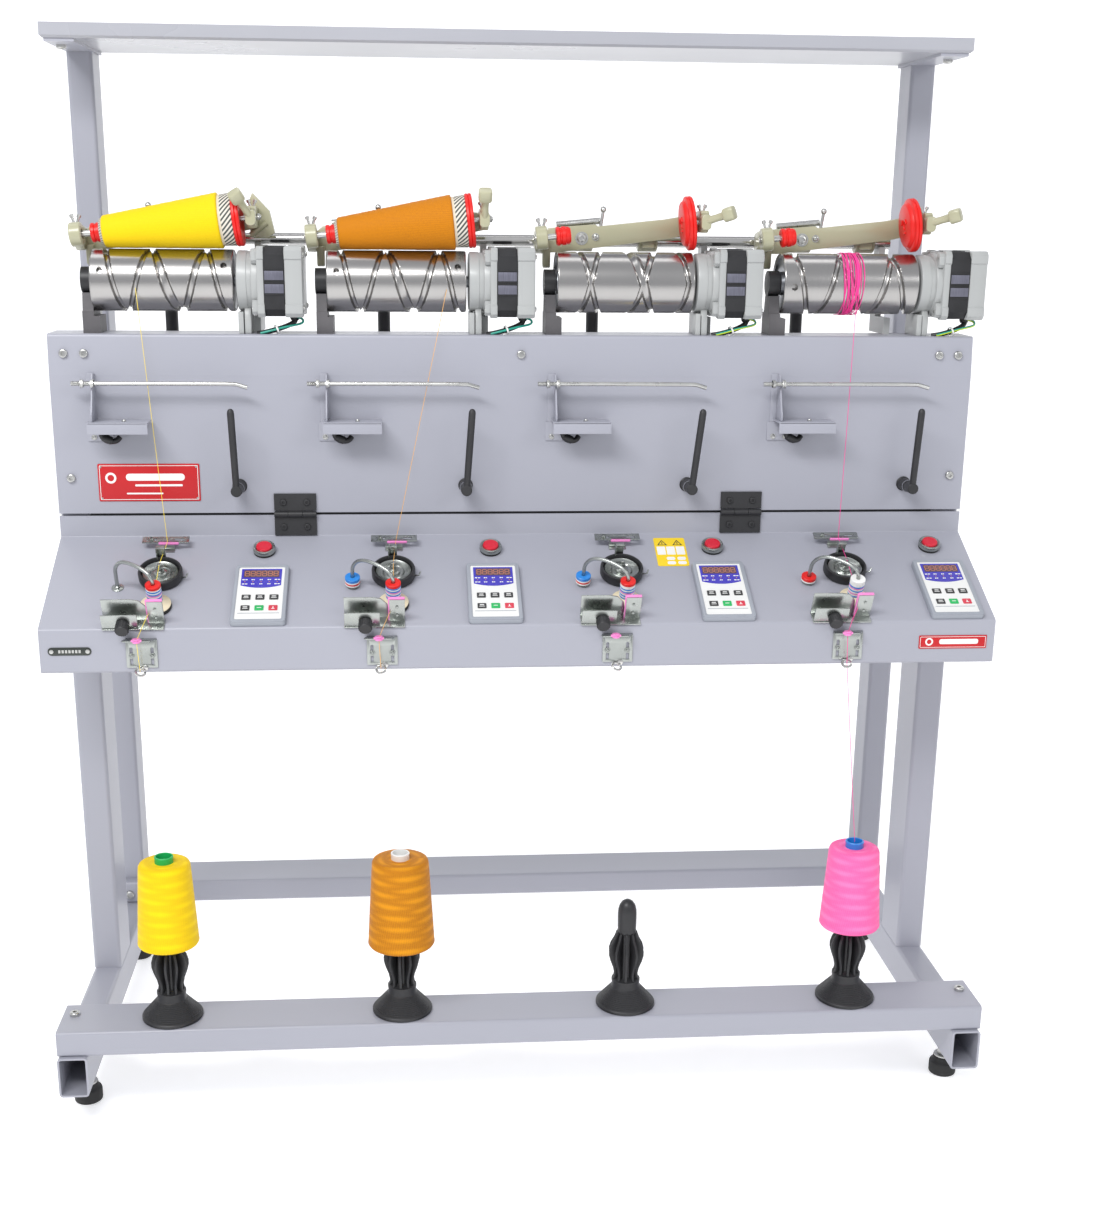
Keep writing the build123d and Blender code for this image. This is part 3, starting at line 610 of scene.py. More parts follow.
def chucks(head):
    """The small plug and the large flanged disc that hold a cone."""
    number = head + 1
    bm = bmesh.new()
    add_lathe(bm, [(4.05, -12.8), (10.5, -12.8), (11.75, -11.8), (11.75, -8.5), (10.6, -7.6), (10.6, -6),
                   (11.75, -5.4), (11.75, -1), (11, -0.2), (10.9, 3), (9, 5.7), (4.4, 5.7), (4.05, 4),
                   (4.05, -12.8)], cone_place(head, 0), 40)
    if head not in WOUND_HEADS:
        for k in range(6):
            turn = Matrix.Rotation(k * pi / 3, 4, "Z")
            add_box(bm, (3, 5.5, 6), cone_place(head, 1.2) @ turn @ Matrix.Translation((9.2, 0, 0)), 0.8)
    face = DISC_FACE[head]
    add_lathe(bm, [(0, -3), (5, -3), (5.4, -5), (25.5, -5), (27, -4.2), (29, -0.4), (31.8, 0), (33.2, 0.9),
                   (33.5, 2.2),
                   (33.5, 3.6), (32.6, 4.4), (33.5, 5.2), (33.5, 7.6), (32.5, 9), (20, 9), (12, 7),
                   (3.05, 7), (3.05, 4), (0, 4)], cone_place(head, face), 64)
    for k in range(3):
        turn = Matrix.Rotation(k * 2 * pi / 3 + 0.4, 4, "Z")
        add_box(bm, (2.5, 7, 3), cone_place(head, face - 5.2) @ turn @ Matrix.Translation((9, 0, 0)), 0.7)
    piece(f"cone_chucks_{number}", bm, f"chuck_{number}", red_plastic, [f"chucks_{number}"], "red_plastic")


# ---------------------------------------------------------------- cradles

def cradle(head):
    number, x = head + 1, HEAD_X[head]
    body = f"cradle_{number}"
    shift = 10 if head in WOUND_HEADS else 0
    rise = tan(CONE_TILT)
    arm_low = CONE_Z - 22
    left, right = x - 112, x + 82 + shift
    bm = bmesh.new()

    def low(px):
        return arm_low + rise * (px - left)

    outline = [(left, low(left)), (x - 92, low(x - 92) - 2), (right - 30, low(right - 30) + 1),
               (right - 4, low(right - 4) + 4),
               (right + 13, low(right + 13) + 6), (right + 14, low(right + 14) + 26),
               (right - 2, low(right - 2) + 29),
               (right - 34, low(right - 34) + 26.5), (x - 40, low(x - 40) + 26), (x - 44, low(x - 44) + 29),
               (left + 8, low(left + 8) + 30), (left, low(left) + 24)]
    add_prism(bm, outline, 8, facing_front(0, 81, 0), 1.6)
    add_span(bm, (x - 96, x - 38), (74, 80), (low(x - 66) + 4, low(x - 66) + 20), 3)
    for a, b in ((x - 75, x - 45), (x + 15, x + 40)):
        add_span(bm, (a + 4, b - 4), (80, 92), (SHAFT_Z - 8, SHAFT_Z + 8), 2)
        add_lathe(bm, [(7.6, 0), (12, 0), (13, 1), (13, b - a - 1), (12, b - a), (7.6, b - a), (7.6, 0)],
                  along_x(a, SHAFT_Y, SHAFT_Z), 32)
    add_lathe(bm, [(4, -38.7), (13.7, -38.7), (14.7, -37.6), (14.7, -25.4), (13.7, -24.3), (6.5, -24.3),
                   (6.5, -27), (4, -27)], cone_place(head, 0), 40)
    web = [(45, arm_low + 6), (60, arm_low - 1), (81, arm_low + 1), (81, arm_low + 26), (62, arm_low + 29),
           (45, arm_low + 27)]
    add_prism(bm, web, 12, profile_at(x - 123), 2)
    drop = [(66, 1054), (70, 1052), (81, 1056), (81, arm_low + 6), (64, arm_low + 6)]
    add_prism(bm, drop, 10, profile_at(x - 112), 1.5)
    block_z = CONE_Z + (175 + shift) * rise
    tail = [(21, block_z - 9), (26, block_z - 13), (60, block_z - 13), (81, block_z - 6), (81, block_z + 12),
            (50, block_z + 14), (24, block_z + 14), (21, block_z + 11)]
    add_prism(bm, tail, 11, profile_at(right + 3), 2)
    if head == 0:
        web = [(right + 3, block_z - 24), (right + 3, block_z + 20), (right + 7, block_z + 30),
               (right + 28, block_z + 8), (right + 34, block_z - 19), (right + 26, block_z - 24)]
        pocket = [(right + 14, block_z - 10), (right + 14, block_z + 4), (right + 23, block_z + 5),
                  (right + 27, block_z - 14)]
        add_prism(bm, web, 8, facing_front(0, 74, 0), 1.5, [pocket])
        add_prism(bm, web, 4, facing_front(0, 66, 0), 1)
        add_tube(bm, [(right + 4, 62, block_z - 22), (right + 24, 62, block_z - 6)], 4, 12)
    piece(f"cradle_casting_{number}", bm, body, beige_paint, [f"cradle_{number}"], "beige_paint")

    bm = bmesh.new()
    add_lathe(bm, [(0, -41), (3, -41), (3.9, -40), (3.9, -1.5), (3, -1), (0, -1)], cone_place(head, 0), 24)
    start, stop = DISC_FACE[head] + 4.4, 180 + shift
    add_lathe(bm, [(0, start), (2.9, start), (2.9, stop + 6), (2, stop + 8), (0, stop + 8)],
              cone_place(head, 0), 20)
    nut_at = (right + 14 - (x - 85)) / cos(CONE_TILT) + 0.4
    add_hex(bm, 9.5, 4, cone_place(head, nut_at))
    clamp_z = CONE_Z - 30 * rise
    for lean in (-0.32, 0.32):
        base = Vector((x - 116.5 + lean * 6, DRUM_Y, clamp_z + 13.5))
        direction = Vector((lean, 0, 1)).normalized()
        place = frame_matrix(base, (1, 0, 0), direction)
        add_lathe(bm, [(1.7, -1), (1.7, 6.5), (2.6, 6.8), (2.7, 10.2), (1.8, 10.8), (1.2, 9), (0, 9)],
                  place, 14)
    for offset, radius in ((-80, 4.5), (-61, 8), (-43, 4.5)):
        place = facing_front(x + offset, 73.2, low(x + offset) + 13)
        add_screw(bm, place, radius * 0.78, 4.6)
    add_tube(bm, [(x - 36, 77, low(x - 36) + 26), (x - 33, 77, 1124)], 2.1)
    add_lathe(bm, [(0, -4)] + [(4 * cos(radians(a)), 4 * sin(radians(a))) for a in range(-60, 61, 20)] + [(0, 4)],
              upright(x - 33, 77, 1125.5), 16)
    add_tube(bm, [(x - 93, 87, CONE_Z + 12.5), (x - 36, 87, CONE_Z + 18)], 4.3, 20)
    pivot_z = block_z + 14
    for lean in (-0.35, 0.35):
        place = frame_matrix((right + 8 + lean * 5, 44, pivot_z - 1), (1, 0, 0),
                             Vector((lean, 0, 1)).normalized())
        add_lathe(bm, [(1.6, -1), (1.6, 5), (2.5, 5.4), (2.6, 8.4), (1.8, 9), (0, 9)], place, 14)
    piece(f"cradle_pins_{number}", bm, body, screw_steel)


def handle(head):
    """The cone clamp handle: a boss on the front of the clamp block, a neck and a rounded grip."""
    number, x = head + 1, HEAD_X[head]
    shift = 10 if head in WOUND_HEADS else 0
    pivot_z = CONE_Z + (175 + shift) * tan(CONE_TILT) + 1
    turn = radians(HANDLE_TURN[head])
    pivot = Vector((x + 90.5 + shift, 15, pivot_z))
    reach = Vector((27 * cos(turn), -18, 27 * sin(turn)))
    bm = bmesh.new()
    add_prism(bm, rounded_outline(13, 19, 5), 11.6, facing_front(pivot.x, 20.8, pivot_z - 1), 1.5)
    unit = reach.normalized()
    across = Vector((-sin(turn), 0, cos(turn)))
    place = frame_matrix(pivot, across, unit)
    add_lathe(bm, [(0, 2), (5, 3), (4.6, reach.length * 0.5), (5.2, reach.length - 7),
                   (7.4, reach.length - 4)], place, 24)
    grip = rounded_outline(17, 14.5, 4.5)
    add_prism(bm, grip, 15, moved(place, 0, 0, reach.length - 6.5), 2.4)
    piece(f"clamp_handle_{number}", bm, f"handle_{number}", beige_paint, [f"handle_{number}"], "beige_paint")


# ---------------------------------------------------------------- motors

def octagon(side, cut):
    half = side / 2
    return [(half, half - cut), (half - cut, half), (cut - half, half), (-half, half - cut),
            (-half, cut - half), (cut - half, -half), (half - cut, -half), (half, cut - half)]


def motor(head):
    number, x = head + 1, HEAD_X[head]
    bm = bmesh.new()
    add_lathe(bm, [(7.3, 0.3), (34, 0.3), (36.5, 1.5), (37, 3), (37, 13), (36.2, 13.6), (36.2, 21),
                   (30, 21.5)], along_x(x + 80, DRUM_Y, DRUM_Z), 72)
    add_lathe(bm, [(36, 0), (39, 0.6), (39.6, 2), (39.6, 9), (30, 9.4)], along_x(x + 99, DRUM_Y, DRUM_Z), 64)
    add_prism(bm, octagon(83, 15), 8.5, along_x(x + 107, DRUM_Y, DRUM_Z), 1.2)
    add_prism(bm, octagon(83, 15), 22.4, along_x(x + 140.8, DRUM_Y, DRUM_Z), 2.2)
    for dy in (-1, 1):
        for dz in (-1, 1):
            add_prism(bm, octagon(18, 4), 12, along_x(x + 100, DRUM_Y + dy * 31, DRUM_Z + dz * 31), 1)
            add_prism(bm, octagon(20, 5), 8.8, along_x(x + 107, DRUM_Y + dy * 33, DRUM_Z + dz * 33), 1)
            add_prism(bm, octagon(20, 5), 22.6, along_x(x + 140.7, DRUM_Y + dy * 33, DRUM_Z + dz * 33), 2)
    foot = [(12, DECK), (58, DECK), (58, 994), (52, 1004), (18, 1004), (12, 994)]
    add_prism(bm, foot, 8, profile_at(x + 88.5), 1)
    add_prism(bm, [(10, DECK), (60, DECK), (60, 998), (10, 998)], 6.5, profile_at(x + 81), 0.8)
    piece(f"motor_castings_{number}", bm, "root", motor_paint, ["motors"], "motor_paint")

    bm = bmesh.new()
    outline = octagon(84, 9)
    add_prism(bm, outline, 25.2, along_x(x + 115.5, DRUM_Y, DRUM_Z), 0.6)
    for z in (-15.5, -1.2, 1.2, 15.5):
        for side in (-1, 1):
            add_box(bm, (24.6, 1.6, 1.2), upright(x + 128.1, DRUM_Y + side * 42, DRUM_Z + z), 0.3)
            add_box(bm, (24.6, 1.2, 1.6), upright(x + 128.1, DRUM_Y + z, DRUM_Z + side * 42), 0.3)
    piece(f"motor_stator_{number}", bm, "root", stator_black)

    bm = bmesh.new()
    for a, b in ((2.5, 13.5), (-13.5, -2.5)):
        add_span(bm, (x + 116.4, x + 139.9), (DRUM_Y - 42.5, DRUM_Y - 41.5), (DRUM_Z + a, DRUM_Z + b), 0.3)
    piece(f"motor_laminations_{number}", bm, "root", lamination)

    bm = bmesh.new()
    for dy in (-1, 1):
        for dz in (-1, 1):
            add_screw(bm, along_x(x + 163.2, DRUM_Y + dy * 32, DRUM_Z + dz * 32), 3, 2.4)
            add_lathe(bm, [(0, -1.5), (2.6, -1.5), (2.6, 0), (0, 0)],
                      along_x(x + 101, DRUM_Y + dy * 33.5, DRUM_Z + dz * 33.5), 14)
    for y in (22, 48):
        add_screw(bm, upright(x + 84.2, y, DECK + 0.1), 2.2, 3)
    piece(f"motor_screws_{number}", bm, "root", screw_steel)


def motor_cable(head):
    """The sleeved motor lead with its earth wire, tied and led through the deck."""
    number, x = head + 1, HEAD_X[head]
    bm = bmesh.new()
    add_lathe(bm, [(0, 0), (5.5, 0), (6, -2), (5, -5), (3.4, -6)], upright(x + 150, 30, 992.3), 20)
    path = smooth_path([(x + 150, 30, 991), (x + 151, 28, 986), (x + 145, 24, 982), (x + 134, 18, 978),
                        (x + 122, 14, 975), (x + 112, 14, 972.5), (x + 104, 18, 971)], 3)
    add_tube(bm, path, 3.2)
    piece(f"motor_lead_{number}", bm, "root", black_plastic, ["motor_cables"], "cable_sheath")
    bm = bmesh.new()
    path = smooth_path([(x + 153, 27, 991), (x + 161, 22, 989), (x + 161, 18, 984), (x + 149, 15, 981.5),
                        (x + 136, 12, 979), (x + 122, 9, 975.5), (x + 108, 9, 972)], 3)
    add_tube(bm, path, 1.4, 8)
    piece(f"earth_wire_{number}", bm, "root", wire_green if head < 2 else wire_yellow)
    bm = bmesh.new()
    if head >= 2:
        add_tube(bm, [Vector(p) + Vector((0, -0.7, 0.9)) for p in path], 0.9, 8)
        piece(f"earth_stripe_{number}", bm, "root", wire_green)
        bm = bmesh.new()
    place = frame_matrix((x + 128, 13.8, 976.8), (0, 1, 0), (1, 0.3, 0.35))
    add_lathe(bm, [(4.9, -1.1), (5.6, -1.1), (5.6, 1.1), (4.9, 1.1), (4.9, -1.1)], place, 20)
    add_tube(bm, [(x + 128, 9, 972), (x + 124, 5, 971.8)], 0.7, 6)
    piece(f"cable_tie_{number}", bm, "root", white_plastic)


# ---------------------------------------------------------------- console

DIGIT_SEGMENTS = ((0, 4.6, 4.6, 1.1), (0, 0, 4.6, 1.1), (0, -4.6, 4.6, 1.1),
                  (-2.6, 2.3, 1.1, 3.8), (2.6, 2.3, 1.1, 3.8), (-2.6, -2.3, 1.1, 3.8), (2.6, -2.3, 1.1, 3.8))


def control_panel(head):
    number, x = head + 1, HEAD_X[head]
    centre = on_console(x + 106.5, 125.5)

    def layer(name, material, parts, replaces=(), slot=None):
        bm = bmesh.new()
        for px, py, width, height, low, high, radius in parts:
            place = moved(centre, px, py, low)
            add_prism(bm, rounded_outline(width, height, radius), high - low, place,
                      0.25 if high - low > 0.8 else 0)
        piece(f"{name}_{number}", bm, "console_lid", material, replaces, slot)

    bm = bmesh.new()
    add_prism(bm, rounded_outline(67, 111, 4), 6.8, moved(centre, 0, 0, 0.1), 0.8)
    outer, inner = rounded_outline(66.2, 110.2, 4), rounded_outline(57, 101, 2)
    add_prism(bm, outer, 1.8, moved(centre, 0, 0, 6.4), 0.6, [inner])
    piece(f"panel_frame_{number}", bm, "console_lid", panel_grey, ["control_panels"] if head == 0 else (),
          "panel_grey")
    layer("panel_face", panel_white, [(0, 0, 57.4, 101.4, 6.5, 7.1, 2)])
    bm = bmesh.new()
    bow = arc_points(0, 76, 66, 270 - 22.2, 270 + 22.2, 12)
    add_prism(bm, [(-25, 47), (25, 47)][::-1] + bow, 0.5, moved(centre, 0, 0, 7.0))
    piece(f"panel_window_{number}", bm, "console_lid", window_blue)
    layer("panel_display", display_dark, [(0, 37.2, 44, 14, 7.3, 7.8, 0.8)])
    digits, marks = [], []
    for k in range(6):
        dx = -17.8 + 7.1 * k
        digits += [(dx + a, 37.2 + b, w, h, 7.7, 8.0, 0.35) for a, b, w, h in DIGIT_SEGMENTS]
    for py in (25.6, 17.2):
        for k in range(5):
            wide = (7.4, 4.6, 4.2, 4.6, 7.4)[k]
            px = -20 + 10 * k
            marks += [(px - wide / 4, py, wide / 2.4, 1.7, 7.4, 7.7, 0.3),
                      (px + wide / 4, py, wide / 2.6, 1.5, 7.4, 7.7, 0.3)]
    layer("panel_digits", digit_brown, digits)
    layer("panel_marks", white_plastic, marks)
    layer("panel_lamps", digit_brown, [(-20 + 10 * k, 21.4, 1.6, 1.6, 7.4, 7.8, 0.7) for k in range(5)])
    keys = [(-16.5, -8.5), (0.5, -8.5), (17.5, -8.5), (-16.5, -29)]
    layer("panel_keys_black", key_black, [(px, py, 11, 9.4, 6.9, 7.9, 1) for px, py in keys])
    layer("panel_key_green", key_green, [(0.5, -29, 11, 9.4, 6.9, 7.9, 1)])
    layer("panel_key_red", key_red, [(17.5, -29, 11, 9.4, 6.9, 7.9, 1)])
    key_marks = [(px, py + 1.4, 5.4, 1.4, 7.8, 8.05, 0.3) for px, py in keys]
    key_marks += [(px, py - 1.5, 6.6, 0.9, 7.8, 8.05, 0.3) for px, py in keys]
    key_marks += [(0.5, -29, 5.4, 1.0, 7.8, 8.05, 0.3), (17.5, -29, 1.1, 3.6, 7.8, 8.05, 0.3),
                  (17.5, -31, 4.0, 0.9, 7.8, 8.05, 0.3)]
    layer("panel_key_marks", white_plastic, key_marks)
    layer("panel_rule", panel_grey, [(0, -38.6, 51, 0.9, 7.0, 7.3, 0.3)])


def push_button(head):
    number, x = head + 1, HEAD_X[head]
    place = on_console(x + 106, 34)
    bm = bmesh.new()
    add_lathe(bm, [(10.3, -11.5), (10.8, -11.5), (10.8, 0.1), (13.6, 0.1), (13.6, 3.2), (12, 3.4)], place, 48)
    piece(f"button_seal_{number}", bm, "console_lid", rubber)
    bm = bmesh.new()
    add_lathe(bm, [(13.6, 3.0), (14.3, 3.4), (14.3, 7.0), (13.6, 8.6), (12.4, 9.0), (11.2, 8.6),
                   (10.3, 8.2), (10.25, 0.5)], place, 48)
    piece(f"button_bezel_{number}", bm, "console_lid", zinc, ["button_bezels"] if head == 0 else (), "zinc")
    bm = bmesh.new()
    add_lathe(bm, [(0, -8), (10.0, -8), (10.0, 9.0), (9.6, 10.0), (8.6, 10.4), (5, 10.1), (0, 10.0)],
              place, 40)
    piece(f"button_cap_{number}", bm, f"button_{number}", red_cap, [f"button_{number}"], "red_plastic")


WASHER_COLOURS = {"b": blue_plastic, "w": white_plastic, "p": pink_plastic, "r": red_plastic}
DISC_STACK = ("bwpbwpbwbwrr", "wbpwbwpbwbrr", "bwbwpbwbwwrr", "bwpwbwpbwwww")
SPARE_STACK = ("", "wrwbb", "wrwbb", "wrr")


def tensioner(head):
    """The cup, the top guide plate, the washer stack on its arch rod and the disc tensioner."""
    number, x = head + 1, HEAD_X[head]
    cup = on_console(x - 19, 86)
    disc = on_console(x - 19, 143)
    post_foot = on_console(x - 70, 105)
    first = ["thread_tensioners"] if head == 0 else ()
    bm = bmesh.new()
    add_lathe(bm, [(0, 0.1), (24, 0.1), (26.5, 1), (27.4, 3), (27.5, 11), (26.9, 13), (25.6, 14),
                   (24.4, 13.6), (23.6, 12), (23.4, 6), (0, 6)], cup, 64)
    piece(f"cup_{number}", bm, "console_lid", black_plastic, first, "black_plastic")
    bm = bmesh.new()
    add_lathe(bm, [(23.4, 6.2), (22.6, 8.6), (21.6, 9.4), (18, 7.2), (14, 6.8), (13, 7.8), (12, 6.9),
                   (8.5, 6.8), (8, 9.6), (5.5, 10.4), (5, 12), (3, 12.4), (2.6, 22), (0, 22.4)], cup, 56)
    coil = [cup @ Vector((4.2 * cos(t * 0.7), 4.2 * sin(t * 0.7), 11 + t * 0.22)) for t in range(36)]
    add_tube(bm, coil, 0.6, 6)
    add_lathe(bm, [(0, 0.1), (7.5, 0.1), (7.5, 1.2), (6.6, 1.8), (0, 1.8)], post_foot, 32)
    add_lathe(bm, [(2.4, 1.8), (3.6, 1.8), (3.4, 3.4), (2.5, 4)], post_foot, 20)
    knee = post_foot @ Vector((0, 0, 1.8))
    post = disc @ Vector((0, 0, 30))
    local = on_console(x - 45, 122)
    arch = [knee, local @ Vector((-25, 17, 16)), local @ Vector((-24.5, 16.5, 34)),
            local @ Vector((-14, 9, 49)),
            local @ Vector((4, -3, 52)), local @ Vector((20, -15, 50)), local @ Vector((26, -20.5, 42)), post]
    add_tube(bm, smooth_path(arch, 3), 2.4, 14)
    add_tube(bm, [cup @ Vector((26, -4, 4)), cup @ Vector((32, -6, 6)), cup @ Vector((34, -3, 10))], 1.1, 8)
    piece(f"tension_metal_{number}", bm, "console_lid", zinc)

    bm = bmesh.new()
    add_lathe(bm, [(0, 0.1), (18, 0.1), (19, 0.8), (19, 2.6), (17.5, 3.6), (17.2, 4.4)], disc, 56)
    piece(f"tension_base_{number}", bm, "console_lid", rubber)
    bm = bmesh.new()
    add_lathe(bm, [(17.2, 4.4), (18.6, 5.2), (18.6, 6), (16, 7.6), (13, 9.2), (10.8, 11.6), (9.4, 12.2),
                   (0, 12.4)], disc, 56)
    piece(f"tension_disc_{number}", bm, "console_lid", cream_ceramic)

    def washers(place, low, letters, thickness=2.0):
        for k, letter in enumerate(letters):
            made = bmesh.new()
            a = low + k * thickness
            add_lathe(made, [(2.7, a), (8.9, a), (9.4, a + 0.4), (9.4, a + thickness - 0.45),
                             (8.9, a + thickness - 0.05),
                             (2.7, a + thickness - 0.05), (2.7, a)], place, 36)
            yield made, WASHER_COLOURS[letter]

    for k, (made, material) in enumerate(washers(disc, 12.5, DISC_STACK[head])):
        piece(f"washer_{number}_{k + 1}", made, "console_lid", material)
    for k, (made, material) in enumerate(washers(post_foot, 4.2, SPARE_STACK[head], 2.2)):
        piece(f"spare_washer_{number}_{k + 1}", made, "console_lid", material)


def console_brackets(head):
    """Zinc plates that carry the eyelets: one above the cup, the front pair and the one on the lip."""
    number, x = head + 1, HEAD_X[head]
    bm = bmesh.new()
    top = on_console(x - 18.5, 22)
    add_prism(bm, rounded_outline(59, 13, 1), 1.8, moved(top, 0, 0, 10), 0.3,
              [slot_outline(-17, 0, 12, 3.6), slot_outline(17, 0, 12, 3.6)])
    add_box(bm, (22, 1.8, 10.5), moved(top, 0, -5.6, 5.2), 0.4)
    add_box(bm, (22, 8, 1.6), moved(top, 0, -9, 0.9), 0.4)
    add_screw(bm, moved(top, -18, 0, 11.9), 3.0, 2.6)
    add_box(bm, (11, 1.6, 20), on_console(x - 20, 58) @ Matrix.Translation((0, 0, 18)), 0.4)
    add_box(bm, (11, 6, 1.6), on_console(x - 20, 60) @ Matrix.Translation((0, 0, 28)), 0.4)
    add_box(bm, (1.6, 6, 20), on_console(x - 25, 60) @ Matrix.Translation((0, 0, 18)), 0.4)
    base = on_console(x - 42, 176)
    add_prism(bm, rounded_outline(74, 20, 1), 1.8, moved(base, 0, 0, 0.1), 0.3)
    back = frame_matrix(on_console(x - 52, 166.5).translation, (1, 0, 0), slope)
    flare = [(-27, 0.2), (26, 0.2), (28, 8), (26, 22), (18, 31), (8, 33), (-27, 33)]
    add_prism(bm, flare, 1.8, back, 0.3)
    front = on_console(x - 57, 184)
    add_box(bm, (43, 1.8, 22), moved(front, 0, 0, 11.2), 0.4)
    slab = on_console(x - 14.5, 173)
    add_box(bm, (19, 3.6, 34), moved(slab, 0, 0, 17.6), 0.6)
    for h in (11, 24):
        add_lathe(bm, [(0, 0), (1.9, 0), (1.9, 1.2), (1.2, 1.8), (0, 1.8)],
                  frame_matrix(slab @ Vector((0, -1.8, h)), (1, 0, 0), slab.to_3x3() @ Vector((0, -1, 0))),
                  16)
    lip_y = SLOPE_FRONT_Y - 2
    holes = [slot_outline(-12.5, -3, 3.6, 22), slot_outline(12.5, -3, 3.6, 22)]
    add_prism(bm, rounded_outline(37.5, 35, 1), 1.8,
              facing_front(x - 33.2, lip_y + 1.9, 603.5), 0.3, holes)
    flat = frame_matrix((x - 33.2, lip_y + 1.5, 621), (1, 0, 0), (0, 0, 1))
    add_prism(bm, [(-18.7, 0), (18.7, 0), (12, 13), (-20, 13), (-22, 10)], 1.6,
              flat @ Matrix.Scale(-1, 4, (0, 1, 0)), 0.3)
    for side in (-1, 1):
        add_screw(bm, facing_front(x - 33.2 + side * 12.5, lip_y, 601), 2.6, 2.6)
    piece(f"console_plates_{number}", bm, "console_lid", zinc, ["thread_brackets"] if head == 0 else (),
          "zinc")

    bm = bmesh.new()
    eye_centre = Vector((x - 35, lip_y - 7, 582))
    turn = 0.9 if head % 2 == 0 else -0.5
    place = frame_matrix(eye_centre, (cos(turn), sin(turn) * 0.4, 0.3), (0.25 * turn, -0.55, 0.8))
    ring = [place @ Vector((5.6 * cos(k * pi / 14), 5.6 * sin(k * pi / 14),
                            0.6 * sin(k * pi / 28))) for k in range(27)]
    add_tube(bm, ring, 1.6, 10)
    add_tube(bm, [ring[0], eye_centre + Vector((4, 4, 2)), Vector((x - 30, lip_y + 1.5, 586))], 1.5, 10)
    add_hex(bm, 8, 3, facing_front(x - 30, lip_y + 0.5, 586))
    piece(f"ring_eye_{number}", bm, "console_lid", shaft_steel)

    bm = bmesh.new()
    knob = frame_matrix(on_console(x - 53, 185.4).translation + slope_normal * 9, (1, 0, 0), slope)
    add_lathe(bm, [(0, 0), (7.4, 0), (8, 0.8), (8, 12), (7.2, 13.4), (0, 13.6)], knob, 32)
    for k in range(18):
        turn = Matrix.Rotation(2 * pi * k / 18, 4, "Z")
        add_box(bm, (1, 1.4, 11), knob @ turn @ Matrix.Translation((8, 0, 6.8)), 0.3)
    piece(f"tension_knob_{number}", bm, "console_lid", black_plastic)

    bm = bmesh.new()
    add_prism(bm, rounded_outline(26, 6.5, 2), 3, moved(top, 4, -5, 8.8), 0.8)
    lip_place = frame_matrix((x - 37, lip_y - 10.5, 622.6), (1, 0, 0), (0, 0, 1))
    add_lathe(bm, [(2.2, -2.6), (4.6, -2.6), (4.8, -1.6), (3.2, 0), (4.8, 1.6), (4.6, 2.6), (2.2, 2.6),
                   (2.2, -2.6)], lip_place, 24)
    add_box(bm, (13, 4.5, 3), lip_place, 1.2)
    add_box(bm, (2.2, 4, 35), moved(slab, -9.8, 1.0, 18), 0.6)
    add_box(bm, (19, 4, 1.8), moved(slab, 0, 1.0, 35.2), 0.6)
    piece(f"thread_eyelets_{number}", bm, "console_lid", pink_plastic)


# ---------------------------------------------------------------- hood

def hood_guide(head):
    number, x = head + 1, HEAD_X[head]
    bm = bmesh.new()
    add_prism(bm, rounded_outline(10.5, 61, 1), 2, facing_front(x - 103.8, 0, 892.5), 0.4)
    add_prism(bm, [(0, 0), (34, 0), (34, 9), (30, 14), (12, 57), (0, 57)], 2,
              frame_matrix((x - 99.2, 0, 866), (0, -1, 0), (-1, 0, 0)), 0.4)
    add_prism(bm, rounded_outline(74, 38, 1), 1.8, upright(x - 68, -23, 864), 0.4)
    add_span(bm, (x - 105, x - 31), (-42, -40.2), (851.5, 865.5), 0.5)
    add_prism(bm, rounded_outline(32, 24, 1), 2, facing_front(x - 96, 0, 850), 0.4)
    piece(f"guide_bracket_{number}", bm, "root", frame_paint, ["guide_brackets"] if head == 0 else (),
          "frame_paint")
    bm = bmesh.new()
    tip = [(x - 124, -24, 912.5), (x - 90, -24, 912.5), (x - 20, -24, 912.5), (x + 62, -24, 912.2),
           (x + 78, -24, 911.8), (x + 92, -24, 907.6)]
    add_tube(bm, tip, 2.7, 16)
    for k in range(14):
        add_lathe(bm, [(2.7, 0), (3.2, 0.7), (2.7, 1.4)], along_x(x - 124 + k * 1.6, -24, 912.5), 16)
    for px in (x - 112.5, x - 100):
        add_hex(bm, 11, 4, along_x(px, -24, 912.5))
    for px in (x - 112.5, x - 97):
        add_lathe(bm, [(0, 0), (5.6, 0), (5.6, 1), (0, 1)], along_x(px, -24, 912.5), 20)
    piece(f"guide_rod_{number}", bm, "root", screw_steel, ["guide_rods"] if head == 0 else (), "zinc")
    bm = bmesh.new()
    for px in (x - 104, x - 88):
        add_screw(bm, facing_front(px, -2, 843), 2.6, 2.4)
    add_screw(bm, upright(x - 62, -24, 866), 2.2, 2.2)
    piece(f"guide_screws_{number}", bm, "root", screw_steel)
    bm = bmesh.new()
    add_span(bm, (x - 96, x - 44), (-37, -8), (853, 863.6), 1.2)
    plug = smooth_path([(x - 92, -22, 853), (x - 90, -22, 845), (x - 84, -20, 840), (x - 74, -17, 840),
                        (x - 70, -14, 845)], 2)
    add_tube(bm, plug, 3.6, 14)
    plug_end = frame_matrix((x - 90, -22, 846), (0, 1, 0), (1, 0.2, -0.5))
    add_lathe(bm, [(0, 0), (4.4, 0), (5, 1), (5, 12), (0, 13)], plug_end, 20)
    piece(f"thread_sensor_{number}", bm, "root", black_plastic, ["thread_sensors"] if head == 0 else (),
          "black_plastic")


